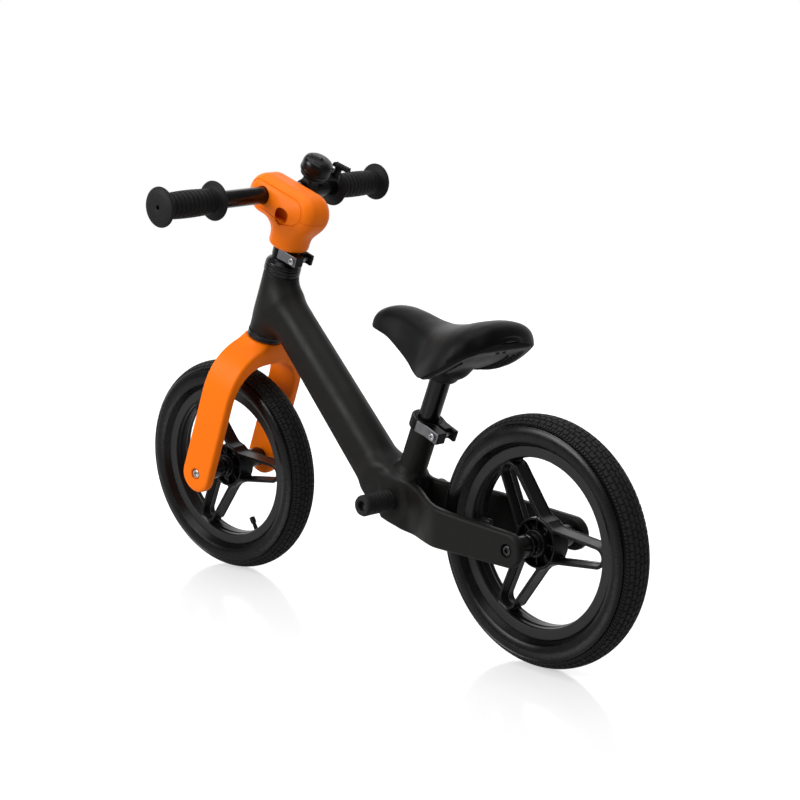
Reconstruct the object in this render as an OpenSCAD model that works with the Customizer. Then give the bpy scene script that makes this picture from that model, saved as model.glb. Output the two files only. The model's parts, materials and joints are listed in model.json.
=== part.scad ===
// Balance bike with a cast frame, a cast fork and two pneumatic wheels.
// Millimetres. +X is forward, +Y is the rider's left, +Z is up.
// The origin lies on the ground, midway between the two axles.

/* [Wheels] */
// Distance between the two axles
wheelbase = 568; // [540:1:600]
// Outer radius of the tyres
wheel_r = 145; // [143:0.5:148]
// Half the outer width of the rim
rim_half = 13.5; // [12:0.5:15]
// Radius of the hub drum
drum_r = 29; // [26:1:32]
// Thickness of the spoke walls
spoke_wall = 3.8; // [3:0.2:5]

/* [Steering] */
// Lean of the steering axis back from vertical
head_tilt = 22.5; // [20:0.5:25]
// Turn of the steering in the stored pose, to the left
steer_rest = 7; // [0:1:7]
// Gap between the fork legs
fork_gap = 108; // [104:1:112]
// Thickness of the fork casting
fork_wall = 15; // [12:1:17]
// Fore and aft width of a fork leg
leg_w = 52; // [46:1:56]
// Width across the whole handlebar
bar_w = 400; // [380:2:430]
// How far the handlebar lies ahead of the steering axis
bar_reach = 43; // [40:1:46]
// Height of the handlebar above the front axle, along the steering axis
bar_rise = 385; // [380:1:395]

/* [Frame] */
// Gap between the rear arms at the axle
arm_gap = 98; // [94:1:102]
// Thickness of a rear arm
arm_wall = 11; // [9:1:12]
// Outer diameter of the seat tube
seat_tube_d = 34; // [32:0.5:38]
// Lean of the seat tube back from vertical
seat_tilt = 22.5; // [20:0.5:25]
// Outer radius of the head tube
head_r = 23; // [22:0.5:25]

/* [Saddle] */
// Diameter of the seat post
post_d = 25.4; // [25:0.1:27.2]
// Raise of the saddle from its stored height
saddle_lift = 0; // [-30:1:30]

/* [Hidden] */
$fn = 64;

matte_black = [0.13, 0.12, 0.11];
gloss_black = [0.05, 0.05, 0.05];
rubber_black = [0.09, 0.09, 0.09];
soft_black = [0.07, 0.07, 0.07];
bright_orange = [1.0, 0.5, 0.05];
clamp_grey = [0.45, 0.45, 0.46];
steel = [0.75, 0.75, 0.76];
brass = [0.78, 0.62, 0.3];

axle_x = wheelbase / 2;
fit = 0.05;
over = 1;

// Wheel section, as radii from the axle
rim_bore = 97;
bead_seat = 101.5;
flange_r = 110;
flange_t = 3;
tyre_mid = 124;
tyre_rise = wheel_r - tyre_mid;
tyre_half = 23.5;
tyre_wall = 3.5;
valve_angle_front = 245;
valve_angle_rear = 5;
valve_r = 3;

// Hub and axle
drum_half = 12;
drum_wall = 2.5;
boss_r = 16;
boss_half = 15;
axle_r = 4;
bearing_r = 11;
bearing_w = 7;
spacer_start = boss_half + 0.3;
bolt_r = 2.5;
bolt_head_r = 6;
bolt_head_h = 3.6;
recess_r = 7.5;
recess_depth = 4.5;

// Heights along the steering axis, measured from the front axle
arch_mid = 116;
crown_top = 198;
crown_r = 23.5;
head_low = 208;
head_high = 294;
cup_h = 9;
cup_r = 23.8;
cup_bore = 21;
cup_insert_r = 17;
cup_insert = 10;
steerer_r = 14.3;
steerer_low = 174;
steerer_top = 330;
cover_top = 314;
collar_low = 316.5;
collar_h = 13.5;
neck_low = 331;
quill_r = 11;
quill_low = 214;
bar_r = 11.1;

// Stem body
stem_round = 22;
stem_front = 75;
stem_rear = -43;
stem_half = 25;
stem_low = bar_rise - 28;
stem_high = bar_rise + 25;
stem_skin = 3;
neck_r = 26.5;
panel_front = 52;
panel_rear = -11;
panel_r = 17;

// Grips and bell
grip_len = 94;
grip_r = 15.5;
flange_grip_r = 25;
bell_y = -58;
bell_lean = 12;
bell_r = 20.5;
bell_h = 22;
bell_base_low = 23;
bell_base_high = 27;
bell_dome_low = 28.5;
bell_dome_top = bell_dome_low + bell_h;
lever_pivot = [-10, -32];

// Seat
seat_foot = [-58, 0, 157];
seat_top = 113;
seat_bore_low = 13;
seat_collar_h = 14;
post_low = 46;
post_top = 184;
socket_r = 20;
pin_r = 3;
pin_z = post_top - 10;

// Foot pegs
peg_start = 24;
peg_end = 70;
peg_r = 13;
rod_r = 5;

// Rear arms
tube_wall = 4;
arm_end_r = 20;
arm_outer = arm_gap / 2 + arm_wall;
hub_half = 23;

// ---------- placing ----------

// Steering axis straight ahead, with the front axle at the origin
module in_head() {
  translate([axle_x, 0, wheel_r]) rotate([0, -head_tilt, 0]) children();
}

// Steering axis as it is turned in the stored pose
module in_fork() {
  in_head() rotate([0, 0, steer_rest]) children();
}

module at_front_wheel() {
  in_fork() rotate([0, head_tilt, 0]) children();
}

module at_rear_wheel() {
  translate([-axle_x, 0, wheel_r]) children();
}

// Seat tube axis, with the foot peg axis at the origin
module in_seat() {
  translate(seat_foot) rotate([0, -seat_tilt, 0]) children();
}

// Moves with the saddle
module on_post() {
  in_seat() translate([0, 0, saddle_lift]) children();
}

// Handlebar axis, with local Z along the bar towards the rider's left
module on_bar() {
  in_fork() translate([bar_reach, 0, bar_rise]) rotate([-90, 0, 0]) children();
}

// Bell axis, with local Z up through the dome
module at_bell() {
  in_fork() translate([bar_reach, bell_y, bar_rise]) rotate([0, -bell_lean, 0]) children();
}

// Stands a turned piece or a flat outline up, with its axis along Y
module upright() {
  rotate([90, 0, 0]) children();
}

module both_sides() {
  children();
  mirror([0, 1, 0]) children();
}

module ring(r_out, r_in, low, high) {
  translate([0, 0, low]) difference() {
    cylinder(r = r_out, h = high - low);
    translate([0, 0, -over]) cylinder(r = r_in, h = high - low + 2 * over);
  }
}

// ---------- wheels ----------

module rim_section() {
  polygon([
    [rim_bore, -rim_half], [flange_r, -rim_half],
    [flange_r, -rim_half + flange_t], [bead_seat, -rim_half + flange_t],
    [bead_seat, rim_half - flange_t], [flange_r, rim_half - flange_t],
    [flange_r, rim_half], [rim_bore, rim_half]
  ]);
}

// One looped spoke: two walls that leave the drum and join in a round end at the rim
module loop_outline(inset) {
  end_r = 12.5 - inset;
  root = 20.5 - inset;
  end_at = 85;
  polygon([[12, -root], [end_at, -end_r], [end_at, end_r], [12, root]]);
  translate([end_at, 0]) circle(r = end_r);
}

module spoke_loops() {
  for (turn = [60:120:300])
    rotate([0, 0, turn]) linear_extrude(height = 22, center = true) difference() {
      loop_outline(0);
      loop_outline(spoke_wall);
    }
}

module hub_drum() {
  web_half = 2;
  rib_t = 2;
  ring(drum_r, drum_r - drum_wall, -drum_half, drum_half);
  cylinder(r = drum_r - drum_wall + 0.5, h = 2 * web_half, center = true);
  cylinder(r = boss_r, h = 2 * boss_half, center = true);
  for (turn = [0:45:315])
    rotate([0, 0, turn]) translate([boss_r - 1, -rib_t / 2, 2 - drum_half])
      cube([drum_r - boss_r - 1, rib_t, 2 * drum_half - 4]);
}

module wheel_casting(valve_angle) {
  color(soft_black) upright() difference() {
    union() {
      rotate_extrude() rim_section();
      difference() {
        spoke_loops();
        cylinder(r = drum_r - 1, h = 60, center = true);
      }
      hub_drum();
    }
    for (side = [-1, 1])
      translate([0, 0, side * (boss_half - bearing_w / 2 + over / 2)])
        cylinder(r = bearing_r, h = bearing_w + over, center = true);
    cylinder(r = bearing_r - 2, h = 60, center = true);
    rotate([0, 0, valve_angle]) translate([rim_bore - 5, 0, 0]) rotate([0, 90, 0])
      cylinder(r = valve_r + 0.2, h = 15);
  }
}

// Outline of one side of the carcass, from the tread's middle down to the bead
function carcass(rise, half, foot, turn) = concat(
  [for (a = [-turn:5:turn]) [tyre_mid + rise * cos(a), half * sin(a)]],
  foot
);

module tyre() {
  bead_y = rim_half - flange_t - 0.1;
  bead_low = bead_seat + 0.2;
  shoulder_r = flange_r + 0.3;
  color(rubber_black) upright() rotate_extrude() difference() {
    polygon(carcass(tyre_rise, tyre_half, [
      [shoulder_r, rim_half - 0.5], [shoulder_r, bead_y], [bead_low, bead_y],
      [bead_low, -bead_y], [shoulder_r, -bead_y], [shoulder_r, 0.5 - rim_half]
    ], 115));
    polygon(carcass(tyre_rise - tyre_wall, tyre_half - tyre_wall, [
      [shoulder_r + 1, bead_y - 3], [bead_low - over, bead_y - 3],
      [bead_low - over, 3 - bead_y], [shoulder_r + 1, 3 - bead_y]
    ], 115));
  }
}

module inner_tube() {
  gap = 0.3;
  rise = tyre_rise - tyre_wall - gap;
  half = tyre_half - tyre_wall - gap;
  color(soft_black) upright() rotate_extrude() difference() {
    polygon(carcass(rise, half, [[112, 6], [102.5, 6], [102.5, -6], [112, -6]], 115));
    polygon(carcass(rise - 1, half - 1, [[112, 5], [103.5, 5], [103.5, -5], [112, -5]], 115));
  }
}

// Valve stem that points in through the rim, with its cap
module valve(valve_angle) {
  stem_end = 80;
  cap_len = 9;
  color(brass) upright() rotate([0, 0, valve_angle]) {
    translate([stem_end, 0, 0]) rotate([0, 90, 0]) cylinder(r = valve_r, h = 102 - stem_end);
    translate([stem_end - 2, 0, 0]) rotate([0, 90, 0]) cylinder(r = valve_r + 1, h = cap_len);
  }
}

module bearings() {
  color(steel) both_sides() rotate([-90, 0, 0])
    ring(bearing_r - 0.01, axle_r + fit, boss_half - bearing_w, boss_half);
}

// ---------- axles ----------

module axle(half_len) {
  color(steel) upright() difference() {
    cylinder(r = axle_r, h = 2 * half_len, center = true);
    for (side = [-1, 1])
      translate([0, 0, side * half_len]) cylinder(r = bolt_r + 0.01, h = 40, center = true);
  }
}

// Button-head bolts that sit in the recesses; seat_y is the floor of the recess
module axle_bolts(seat_y) {
  color(steel) both_sides() translate([0, seat_y, 0]) rotate([-90, 0, 0]) difference() {
    union() {
      cylinder(r = bolt_head_r, h = bolt_head_h - 1);
      translate([0, 0, bolt_head_h - 1.01]) cylinder(r1 = bolt_head_r, r2 = bolt_head_r - 1.5, h = 1.01);
      translate([0, 0, -16]) cylinder(r = bolt_r, h = 17);
    }
    translate([0, 0, bolt_head_h - 2]) cylinder(r = 2, h = 3, $fn = 6);
  }
}

// Stepped sleeves between the hub bearings and the dropouts
module axle_spacers(end_y) {
  neck_len = 5;
  color(gloss_black) both_sides() rotate([-90, 0, 0]) {
    ring(7, axle_r + fit, spacer_start, spacer_start + neck_len);
    ring(13, axle_r + fit, spacer_start + neck_len, end_y - 0.1);
  }
}

// ---------- frame ----------

// Upright oval slice of the down tube, square to the tube
module tube_slice(tall, wide) {
  linear_extrude(height = 2, center = true) {
    for (side = [-1, 1])
      translate([side * (tall - wide) / 2, 0]) circle(r = wide / 2, $fn = 32);
    square([tall - wide, wide], center = true);
  }
}

// Oval tube that swells towards the seat; inset gives the hollow inside its wall
module down_tube(inset) {
  tube_lean = 44.5;
  hull() {
    translate([173, 0, 375]) rotate([0, tube_lean, 0]) tube_slice(58 - 2 * inset, 45 - 2 * inset);
    translate([-20, 0, 182]) rotate([0, tube_lean, 0]) tube_slice(66 - 2 * inset, 48 - 2 * inset);
  }
}

// Joint of the down tube, the seat tube and the arms
module hub_block() {
  hull() {
    in_seat() cylinder(r = seat_tube_d / 2 + 4, h = 30, $fn = 32);
    translate(seat_foot) upright() cylinder(r = 27, h = 2 * hub_half, center = true, $fn = 32);
    translate([-38, 0, 170]) upright() cylinder(r = 32, h = 2 * hub_half - 4, center = true, $fn = 32);
  }
}

// Plan of the arms: a tuning fork that opens with an S-bend on each side
bend_start = -82;
bend_end = -178;
function bend_y(t, near, far) = near + (far - near) * (1 - cos(180 * t)) / 2;
function bend_line(near, far) = [
  for (i = [0:12]) [bend_start + (bend_end - bend_start) * i / 12, bend_y(i / 12, near, far)]
];

module arm_plan() {
  tip = -axle_x - arm_end_r - 5;
  inner = bend_line(hub_half - arm_wall, arm_gap / 2);
  outer = bend_line(hub_half, arm_outer);
  polygon(concat(
    [[-45, hub_half - arm_wall]], inner, [[tip, arm_gap / 2], [tip, arm_outer]],
    [for (i = [12:-1:0]) outer[i]], [[-45, hub_half]]
  ));
}

// Side view of one arm, from the hub block back to the round dropout
module arm_side() {
  polygon([
    [-40, 130], [-75, 124], [-110, 122], [-150, 125], [-axle_x, wheel_r - arm_end_r],
    [-axle_x, wheel_r + arm_end_r], [-200, 171], [-140, 176], [-105, 181], [-85, 186], [-40, 190]
  ]);
  translate([-axle_x, wheel_r]) circle(r = arm_end_r);
}

module rear_arms() {
  both_sides() intersection() {
    translate([0, 0, 90]) linear_extrude(height = 140) arm_plan();
    translate([0, 80, 0]) upright() linear_extrude(height = 80) arm_side();
  }
}

module dropout_holes() {
  at_rear_wheel() {
    upright() cylinder(r = axle_r + fit, h = 200, center = true);
    both_sides() translate([0, arm_outer - recess_depth, 0]) rotate([-90, 0, 0])
      cylinder(r = recess_r, h = 20);
  }
}

module frame_casting() {
  tyre_clearance = 6;
  color(matte_black) difference() {
    union() {
      in_head() translate([0, 0, head_low]) cylinder(r = head_r, h = head_high - head_low);
      down_tube(0);
      hub_block();
      in_seat() cylinder(d = seat_tube_d, h = seat_top);
      rear_arms();
    }
    in_head() translate([0, 0, head_low - over])
      cylinder(r = cup_insert_r, h = head_high - head_low + 2 * over);
    in_head() translate([0, 0, head_low - 20]) cylinder(r = cup_r + 5, h = 20);
    intersection() {
      down_tube(tube_wall);
      translate([20, -100, 0]) cube([300, 200, 500]);
    }
    in_seat() translate([0, 0, seat_bore_low])
      cylinder(d = post_d + 2 * fit, h = seat_top - seat_bore_low + over);
    in_seat() translate([-30, -1.5, seat_top - 28]) cube([30, 3, 30]);
    translate(seat_foot) upright() cylinder(r = rod_r, h = 200, center = true);
    at_rear_wheel() upright()
      cylinder(r = wheel_r + tyre_clearance, h = 2 * (tyre_half + tyre_clearance), center = true);
    dropout_holes();
  }
}

module headset_cup() {
  color(gloss_black) difference() {
    union() {
      translate([0, 0, -cup_h]) cylinder(r = cup_r, h = cup_h);
      cylinder(r = cup_insert_r, h = cup_insert);
    }
    translate([0, 0, -cup_h - over]) cylinder(r = cup_bore, h = cup_h + over - 1.5);
    translate([0, 0, -20]) cylinder(r = steerer_r + 0.7, h = 40);
  }
}

module headset_lower_cup() {
  in_head() translate([0, 0, head_low]) headset_cup();
}

module headset_upper_cup() {
  in_head() translate([0, 0, head_high]) mirror([0, 0, 1]) headset_cup();
}

module headset_bearing() {
  color(steel) rotate_extrude() translate([18, 0]) circle(r = 2.6);
}

module headset_lower_bearing() {
  in_head() translate([0, 0, head_low - 4.4]) headset_bearing();
}

module headset_upper_bearing() {
  in_head() translate([0, 0, head_high + 4.4]) headset_bearing();
}

// ---------- clamps ----------

// Split ring with two flat ears behind it; the bolt runs across the ears
module clamp_collar(r_in, r_out, ear_end, h, ear_half, bolt_x) {
  slot = 5;
  difference() {
    union() {
      cylinder(r = r_out, h = h);
      translate([-ear_end, -ear_half, 0]) cube([ear_end, 2 * ear_half, h]);
    }
    translate([0, 0, -over]) cylinder(r = r_in, h = h + 2 * over);
    translate([-ear_end - over, -slot / 2, -over]) cube([ear_end + over, slot, h + 2 * over]);
    translate([-bolt_x, 0, h / 2]) upright() cylinder(r = bolt_r + 0.1, h = 80, center = true);
    translate([-ear_end - over, -ear_half + 5, -over]) cube([9 + over, ear_half - 5, h + 2 * over]);
  }
}

module cross_bolt(h, ear_half, bolt_x) {
  translate([-bolt_x, 0, h / 2]) {
    upright() cylinder(r = bolt_r, h = 2 * ear_half + 5, center = true);
    translate([0, ear_half + 3, 0]) upright() difference() {
      cylinder(r = 4.4, h = 3);
      translate([0, 0, -over]) cylinder(r = 1.8, h = 2.6, $fn = 6);
    }
    translate([0, -ear_half - 0.05, 0]) upright() cylinder(r = 4.6, h = 3.6, $fn = 6);
  }
}

seat_collar_r = seat_tube_d / 2 + 3.6;
seat_ear_half = seat_tube_d / 2;
seat_ear_end = 37;
seat_bolt_x = 29;
stem_collar_r = 18.2;
stem_ear_half = 16.5;
stem_ear_end = 33;
stem_bolt_x = 26;

module seat_clamp_collar() {
  color(clamp_grey) in_seat() translate([0, 0, seat_top - seat_collar_h])
    clamp_collar(seat_tube_d / 2 + 0.02, seat_collar_r, seat_ear_end, seat_collar_h,
      seat_ear_half, seat_bolt_x);
}

module seat_clamp_bolt() {
  color(steel) in_seat() translate([0, 0, seat_top - seat_collar_h])
    cross_bolt(seat_collar_h, seat_ear_half, seat_bolt_x);
}

module stem_clamp_collar() {
  color(clamp_grey) in_fork() translate([0, 0, collar_low])
    clamp_collar(steerer_r + 0.02, stem_collar_r, stem_ear_end, collar_h,
      stem_ear_half, stem_bolt_x);
}

module stem_clamp_bolt() {
  color(steel) in_fork() translate([0, 0, collar_low])
    cross_bolt(collar_h, stem_ear_half, stem_bolt_x);
}

// ---------- foot pegs ----------

// Ribbed rubber sleeve with a dished, hollow outer end
module foot_peg() {
  rib = 1.2;
  pitch = 6.5;
  ribs = 5;
  color(rubber_black) translate(seat_foot) rotate([-90, 0, 0]) difference() {
    union() {
      translate([0, 0, peg_start]) cylinder(r = peg_r - rib, h = peg_end - peg_start - 1);
      for (i = [0:ribs - 1])
        translate([0, 0, peg_start + 1 + i * pitch]) cylinder(r = peg_r, h = pitch / 2);
      translate([0, 0, peg_end - 12]) cylinder(r = peg_r, h = 10);
      translate([0, 0, peg_end - 2.01]) cylinder(r1 = peg_r, r2 = peg_r - 2, h = 2.01);
    }
    translate([0, 0, peg_start - over]) cylinder(r = rod_r, h = peg_end - peg_start + 3);
    translate([0, 0, peg_end - 6]) cylinder(r = rod_r + 1, h = 10);
  }
}

module foot_peg_left() {
  foot_peg();
}

module foot_peg_right() {
  mirror([0, 1, 0]) foot_peg();
}

module foot_peg_rod() {
  color(steel) translate(seat_foot) upright()
    cylinder(r = rod_r - 0.01, h = 2 * (peg_end - 7), center = true);
}

// ---------- fork ----------

leg_inner = fork_gap / 2;
leg_outer = leg_inner + fork_wall;

// Front view of the fork: an arch on two straight legs
module fork_front() {
  difference() {
    union() {
      translate([0, arch_mid]) circle(r = leg_outer);
      translate([-leg_outer, -leg_w]) square([2 * leg_outer, arch_mid + leg_w]);
      translate([-crown_r, arch_mid]) square([2 * crown_r, crown_top - arch_mid]);
    }
    translate([0, arch_mid]) circle(r = leg_inner);
    translate([-leg_inner, -leg_w - over]) square([2 * leg_inner, arch_mid + leg_w + over]);
  }
}

// Side view of a leg, round about the axle
module fork_side() {
  circle(r = leg_w / 2);
  translate([-leg_w / 2, 0]) square([leg_w, arch_mid + 36]);
  polygon([
    [-leg_w / 2, arch_mid + 35], [leg_w / 2, arch_mid + 35],
    [crown_r, crown_top], [-crown_r, crown_top]
  ]);
}

module fork_casting() {
  color(bright_orange) in_fork() difference() {
    intersection() {
      rotate([0, 0, 90]) translate([0, leg_w, 0]) upright()
        linear_extrude(height = 2 * leg_w) fork_front();
      translate([0, 2 * leg_outer, 0]) upright() linear_extrude(height = 4 * leg_outer) fork_side();
    }
    difference() {
      translate([-leg_w, -leg_w, crown_top - 9]) cube([2 * leg_w, 2 * leg_w, 20]);
      translate([0, 0, crown_top - 10]) cylinder(r = crown_r, h = 30);
    }
    translate([0, 0, steerer_low]) cylinder(r = steerer_r, h = 60);
    upright() cylinder(r = axle_r + fit, h = 200, center = true);
    both_sides() translate([0, leg_outer - recess_depth, 0]) rotate([-90, 0, 0])
      cylinder(r = recess_r, h = 20);
  }
}

module steerer_tube() {
  color(steel) in_fork() difference() {
    translate([0, 0, steerer_low]) cylinder(r = steerer_r - 0.01, h = steerer_top - steerer_low);
    translate([0, 0, steerer_low - over])
      cylinder(r = quill_r + fit, h = steerer_top - steerer_low + 2 * over);
    translate([-30, -1.5, steerer_top - 24]) cube([30, 3, 30]);
  }
}

module crown_race() {
  color(steel) in_fork() ring(19.5, steerer_r, crown_top, crown_top + 2.4);
}

module headset_top_cover() {
  low = head_high + cup_h + 0.4;
  shoulder = low + 4;
  color(gloss_black) in_fork() difference() {
    union() {
      translate([0, 0, low]) cylinder(r = cup_r - 0.2, h = shoulder - low);
      translate([0, 0, shoulder]) cylinder(r1 = cup_r - 0.2, r2 = steerer_r + 3, h = cover_top - shoulder);
    }
    translate([0, 0, low - over]) cylinder(r = steerer_r, h = cover_top - low + 2 * over);
  }
}

// ---------- stem ----------

// Soft-edged block; inset shrinks it evenly
module stem_block(inset) {
  round_r = stem_round - inset;
  hull()
    for (x = [stem_rear + stem_round, stem_front - stem_round])
      for (y = [stem_round - stem_half, stem_half - stem_round])
        for (z = [stem_low + stem_round, stem_high - stem_round])
          translate([x, y, z]) sphere(r = round_r, $fn = 28);
}

module stem_neck(r_low, r_high, low) {
  chamfer = 3;
  translate([0, 0, low]) cylinder(r1 = r_low - chamfer, r2 = r_low, h = chamfer);
  translate([0, 0, low + chamfer - 0.01]) cylinder(r1 = r_low, r2 = r_high, h = stem_low + 8 - low - chamfer);
}

// Space taken by the handlebar where it passes through the covers
module bar_tunnel(r) {
  on_bar() cylinder(r = r, h = 90, center = true);
}

// Long round-ended outline that cuts through the stem's left side, outside its core
module panel_outline(gap) {
  r = panel_r - gap;
  panel_from = 14.4;
  translate([0, panel_from, bar_rise]) rotate([-90, 0, 0]) linear_extrude(height = 30) {
    translate([panel_rear, 0]) circle(r = r);
    translate([panel_front, 0]) circle(r = r);
    translate([panel_rear, -r]) square([panel_front - panel_rear, 2 * r]);
  }
}

module stem_shell(low, high) {
  difference() {
    intersection() {
      stem_block(0);
      translate([-100, -100, low]) cube([250, 200, high - low]);
    }
    stem_block(stem_skin);
    both_sides() panel_outline(0);
  }
}

module stem_lower_shell() {
  color(bright_orange) difference() {
    union() {
      in_fork() stem_shell(0, bar_rise - 0.1);
      in_fork() difference() {
        stem_neck(neck_r, neck_r - 1.5, neck_low);
        stem_block(stem_skin);
      }
    }
    in_fork() translate([0, 0, neck_low - over]) cylinder(r = neck_r - 5, h = stem_low + 10 - neck_low);
    bar_tunnel(bar_r + 0.3);
  }
}

module stem_upper_shell() {
  color(bright_orange) difference() {
    in_fork() stem_shell(bar_rise + 0.1, 500);
    bar_tunnel(bar_r + 0.3);
  }
}

// Inlays with a face that is crowned both ways
module stem_side_panels() {
  crown_across = 32.6;
  crown_along = 240;
  crown_x = 14;
  face_y = stem_half - 0.4;
  color(bright_orange) difference() {
    in_fork() both_sides() intersection() {
      panel_outline(0.3);
      translate([0, face_y - crown_across, bar_rise]) rotate([0, 90, 0])
        cylinder(r = crown_across, h = 400, center = true, $fn = 180);
      translate([crown_x, face_y - crown_along, stem_low])
        cylinder(r = crown_along, h = stem_high - stem_low, $fn = 360);
    }
    bar_tunnel(bar_r + 0.3);
  }
}

// Forged block that grips the handlebar and the quill
module stem_core() {
  half_y = 14;
  color(clamp_grey) difference() {
    in_fork() {
      translate([-16, -half_y, bar_rise - 17]) cube([bar_reach + 32, 2 * half_y, 34]);
      translate([0, 0, stem_low + 4]) cylinder(r = half_y, h = 20);
    }
    in_fork() translate([0, 0, stem_low - 5]) cylinder(r = quill_r, h = 40);
    bar_tunnel(bar_r);
  }
}

module quill_tube() {
  color(steel) in_fork() ring(quill_r - 0.01, quill_r - 2.2, quill_low, stem_low + 35);
}

module handlebar() {
  color(gloss_black) on_bar() difference() {
    cylinder(r = bar_r - 0.01, h = bar_w - 10, center = true);
    cylinder(r = bar_r - 1.8, h = bar_w, center = true);
  }
}

// Ribbed barrel between a large end flange and a thumb flange
module grip() {
  inner_z = bar_w / 2 - grip_len;
  flange_t = 5;
  end_r = flange_grip_r - 0.5;
  ribs = 10;
  barrel_start = inner_z + flange_t;
  barrel_len = grip_len - flange_t - 9;
  pitch = barrel_len / ribs;
  difference() {
    union() {
      translate([0, 0, inner_z]) cylinder(r = flange_grip_r, h = flange_t);
      translate([0, 0, barrel_start - 0.01]) cylinder(r = grip_r - 0.8, h = barrel_len + 0.02);
      for (i = [0:ribs - 1])
        translate([0, 0, barrel_start + i * pitch])
          cylinder(r = grip_r + 1.6 * sin(180 * (i + 0.5) / ribs), h = pitch * 0.55);
      translate([0, 0, bar_w / 2 - 9]) cylinder(r1 = grip_r, r2 = end_r, h = 4.5);
      translate([0, 0, bar_w / 2 - 4.51]) cylinder(r1 = end_r, r2 = end_r - 4.5, h = 4.51);
    }
    translate([0, 0, inner_z - over]) cylinder(r = bar_r, h = grip_len - 4);
    translate([0, 0, bar_w / 2 - 10]) cylinder(r = 2.5, h = 20);
  }
}

module grip_left() {
  color(rubber_black) on_bar() grip();
}

module grip_right() {
  color(rubber_black) on_bar() mirror([0, 0, 1]) grip();
}

// ---------- bell ----------

module bell_clamp() {
  band_half = 8;
  color(gloss_black) at_bell() difference() {
    union() {
      upright() cylinder(r = bar_r + 3, h = 2 * band_half, center = true);
      translate([-8, -band_half, 0]) cube([16, 2 * band_half, bell_base_low]);
      translate([-4, -band_half, -bar_r - 10]) cube([8, 2 * band_half, 10]);
    }
    upright() cylinder(r = bar_r, h = 40, center = true);
    translate([-1, -20, -bar_r - 12]) cube([2, 40, 13]);
  }
}

module bell_base() {
  plate_h = bell_base_high - bell_base_low;
  color(gloss_black) at_bell() {
    translate([0, 0, bell_base_low]) cylinder(r = bell_r - 3, h = plate_h);
    hull() {
      translate([0, -12, bell_base_low]) cylinder(r = 8, h = plate_h, $fn = 32);
      translate([lever_pivot[0], lever_pivot[1], bell_base_low]) cylinder(r = 7, h = plate_h, $fn = 32);
    }
    translate([0, 0, bell_base_high]) cylinder(r = 3, h = bell_h - 5);
    translate([lever_pivot[0], lever_pivot[1], bell_base_high]) cylinder(r = 2, h = 6);
  }
}

// Dome with a stepped, nearly flat top and a hollow inside
module bell_dome() {
  low = bell_dome_low;
  top = bell_dome_top;
  color(gloss_black) at_bell() difference() {
    rotate_extrude() difference() {
      polygon([
        [0, low], [bell_r - 0.6, low], [bell_r, low + 2], [bell_r - 0.6, top - 8], [bell_r - 2, top - 4.6],
        [bell_r - 5, top - 2.6], [bell_r - 9, top - 2], [bell_r - 10, top - 1], [0, top]
      ]);
      polygon([
        [-1, low - 1], [bell_r - 2, low - 1], [bell_r - 2, top - 8], [bell_r - 4.5, top - 5],
        [bell_r - 7, top - 4], [-1, top - 3]
      ]);
    }
    cylinder(r = 2, h = 100);
  }
}

module bell_dome_screw() {
  screw_low = bell_base_high + bell_h - 5;
  color(steel) at_bell() {
    translate([0, 0, bell_dome_top]) cylinder(r1 = 3.6, r2 = 2.6, h = 1.4);
    translate([0, 0, screw_low]) cylinder(r = 1.9, h = bell_dome_top - screw_low + 0.1);
  }
}

// Thumb lever: a striker arm low down, and a ridged pad that slopes up towards the rider
module bell_lever() {
  low = bell_base_high + 0.4;
  pad_len = 26;
  pad_w = 9;
  pad_up = 15;
  pad_tilt = 14;
  ridges = 7;
  pitch = pad_len / ridges;
  color(soft_black) at_bell() translate([lever_pivot[0], lever_pivot[1], 0]) difference() {
    union() {
      translate([0, 0, low]) cylinder(r = 5, h = pad_up);
      translate([2, 1, low]) rotate([0, 0, 60]) translate([0, -2, 0]) cube([10, 4, 2.2]);
      translate([0, 0, low + pad_up]) rotate([0, pad_tilt, 0]) {
        translate([-pad_len * 0.62, -pad_w / 2, -3]) cube([pad_len, pad_w, 4]);
        for (i = [0:ridges - 1])
          translate([-pad_len * 0.62 + i * pitch, -pad_w / 2, 0.9]) cube([pitch / 2, pad_w, 1.8]);
      }
    }
    translate([0, 0, low - over]) cylinder(r = 2 + fit, h = 8);
  }
}

// ---------- saddle ----------

// Stations along the saddle, as [x, half width, height of the top, height of the lower edge]
saddle_line = [
  [-231, 22, 372, 364], [-228, 38, 379, 361], [-221, 52, 385, 357], [-208, 63, 387, 351],
  [-190, 69, 385, 342], [-170, 70, 380, 333], [-150, 64, 377, 330], [-130, 53, 376, 334],
  [-110, 44, 379, 341], [-85, 36, 387, 350], [-60, 32, 392, 359], [-42, 29, 391, 364],
  [-30, 24, 386, 366], [-22, 16, 379, 367], [-18, 8, 373, 367]
];
saddle_turns = 24;
saddle_belly = 3;
saddle_shift = [-saddle_lift * sin(seat_tilt), 0, saddle_lift * cos(seat_tilt)];

// One ring of the cover: a crowned top over a nearly flat underside
function saddle_ring(s) = [
  for (i = [0:saddle_turns - 1])
    let (a = 360 * i / saddle_turns, up = sin(a) > 0 ? s[2] - s[3] : saddle_belly)
      [s[0], s[1] * cos(a), s[3] + up * sin(a)]
];

// Closed skin over all the rings
module saddle_solid() {
  rings = [for (s = saddle_line) saddle_ring(s)];
  n = saddle_turns;
  last = len(rings) - 1;
  points = [for (r = rings) for (p = r) p];
  faces = concat(
    [[for (i = [0:n - 1]) i]],
    [for (k = [0:last - 1]) for (i = [0:n - 1])
      [k * n + i, (k + 1) * n + i, (k + 1) * n + (i + 1) % n]],
    [for (k = [0:last - 1]) for (i = [0:n - 1])
      [k * n + i, (k + 1) * n + (i + 1) % n, k * n + (i + 1) % n]],
    [[for (i = [n - 1:-1:0]) last * n + i]]
  );
  polyhedron(points = points, faces = faces);
}

module saddle_cover() {
  color(gloss_black) translate(saddle_shift) saddle_solid();
}

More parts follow.
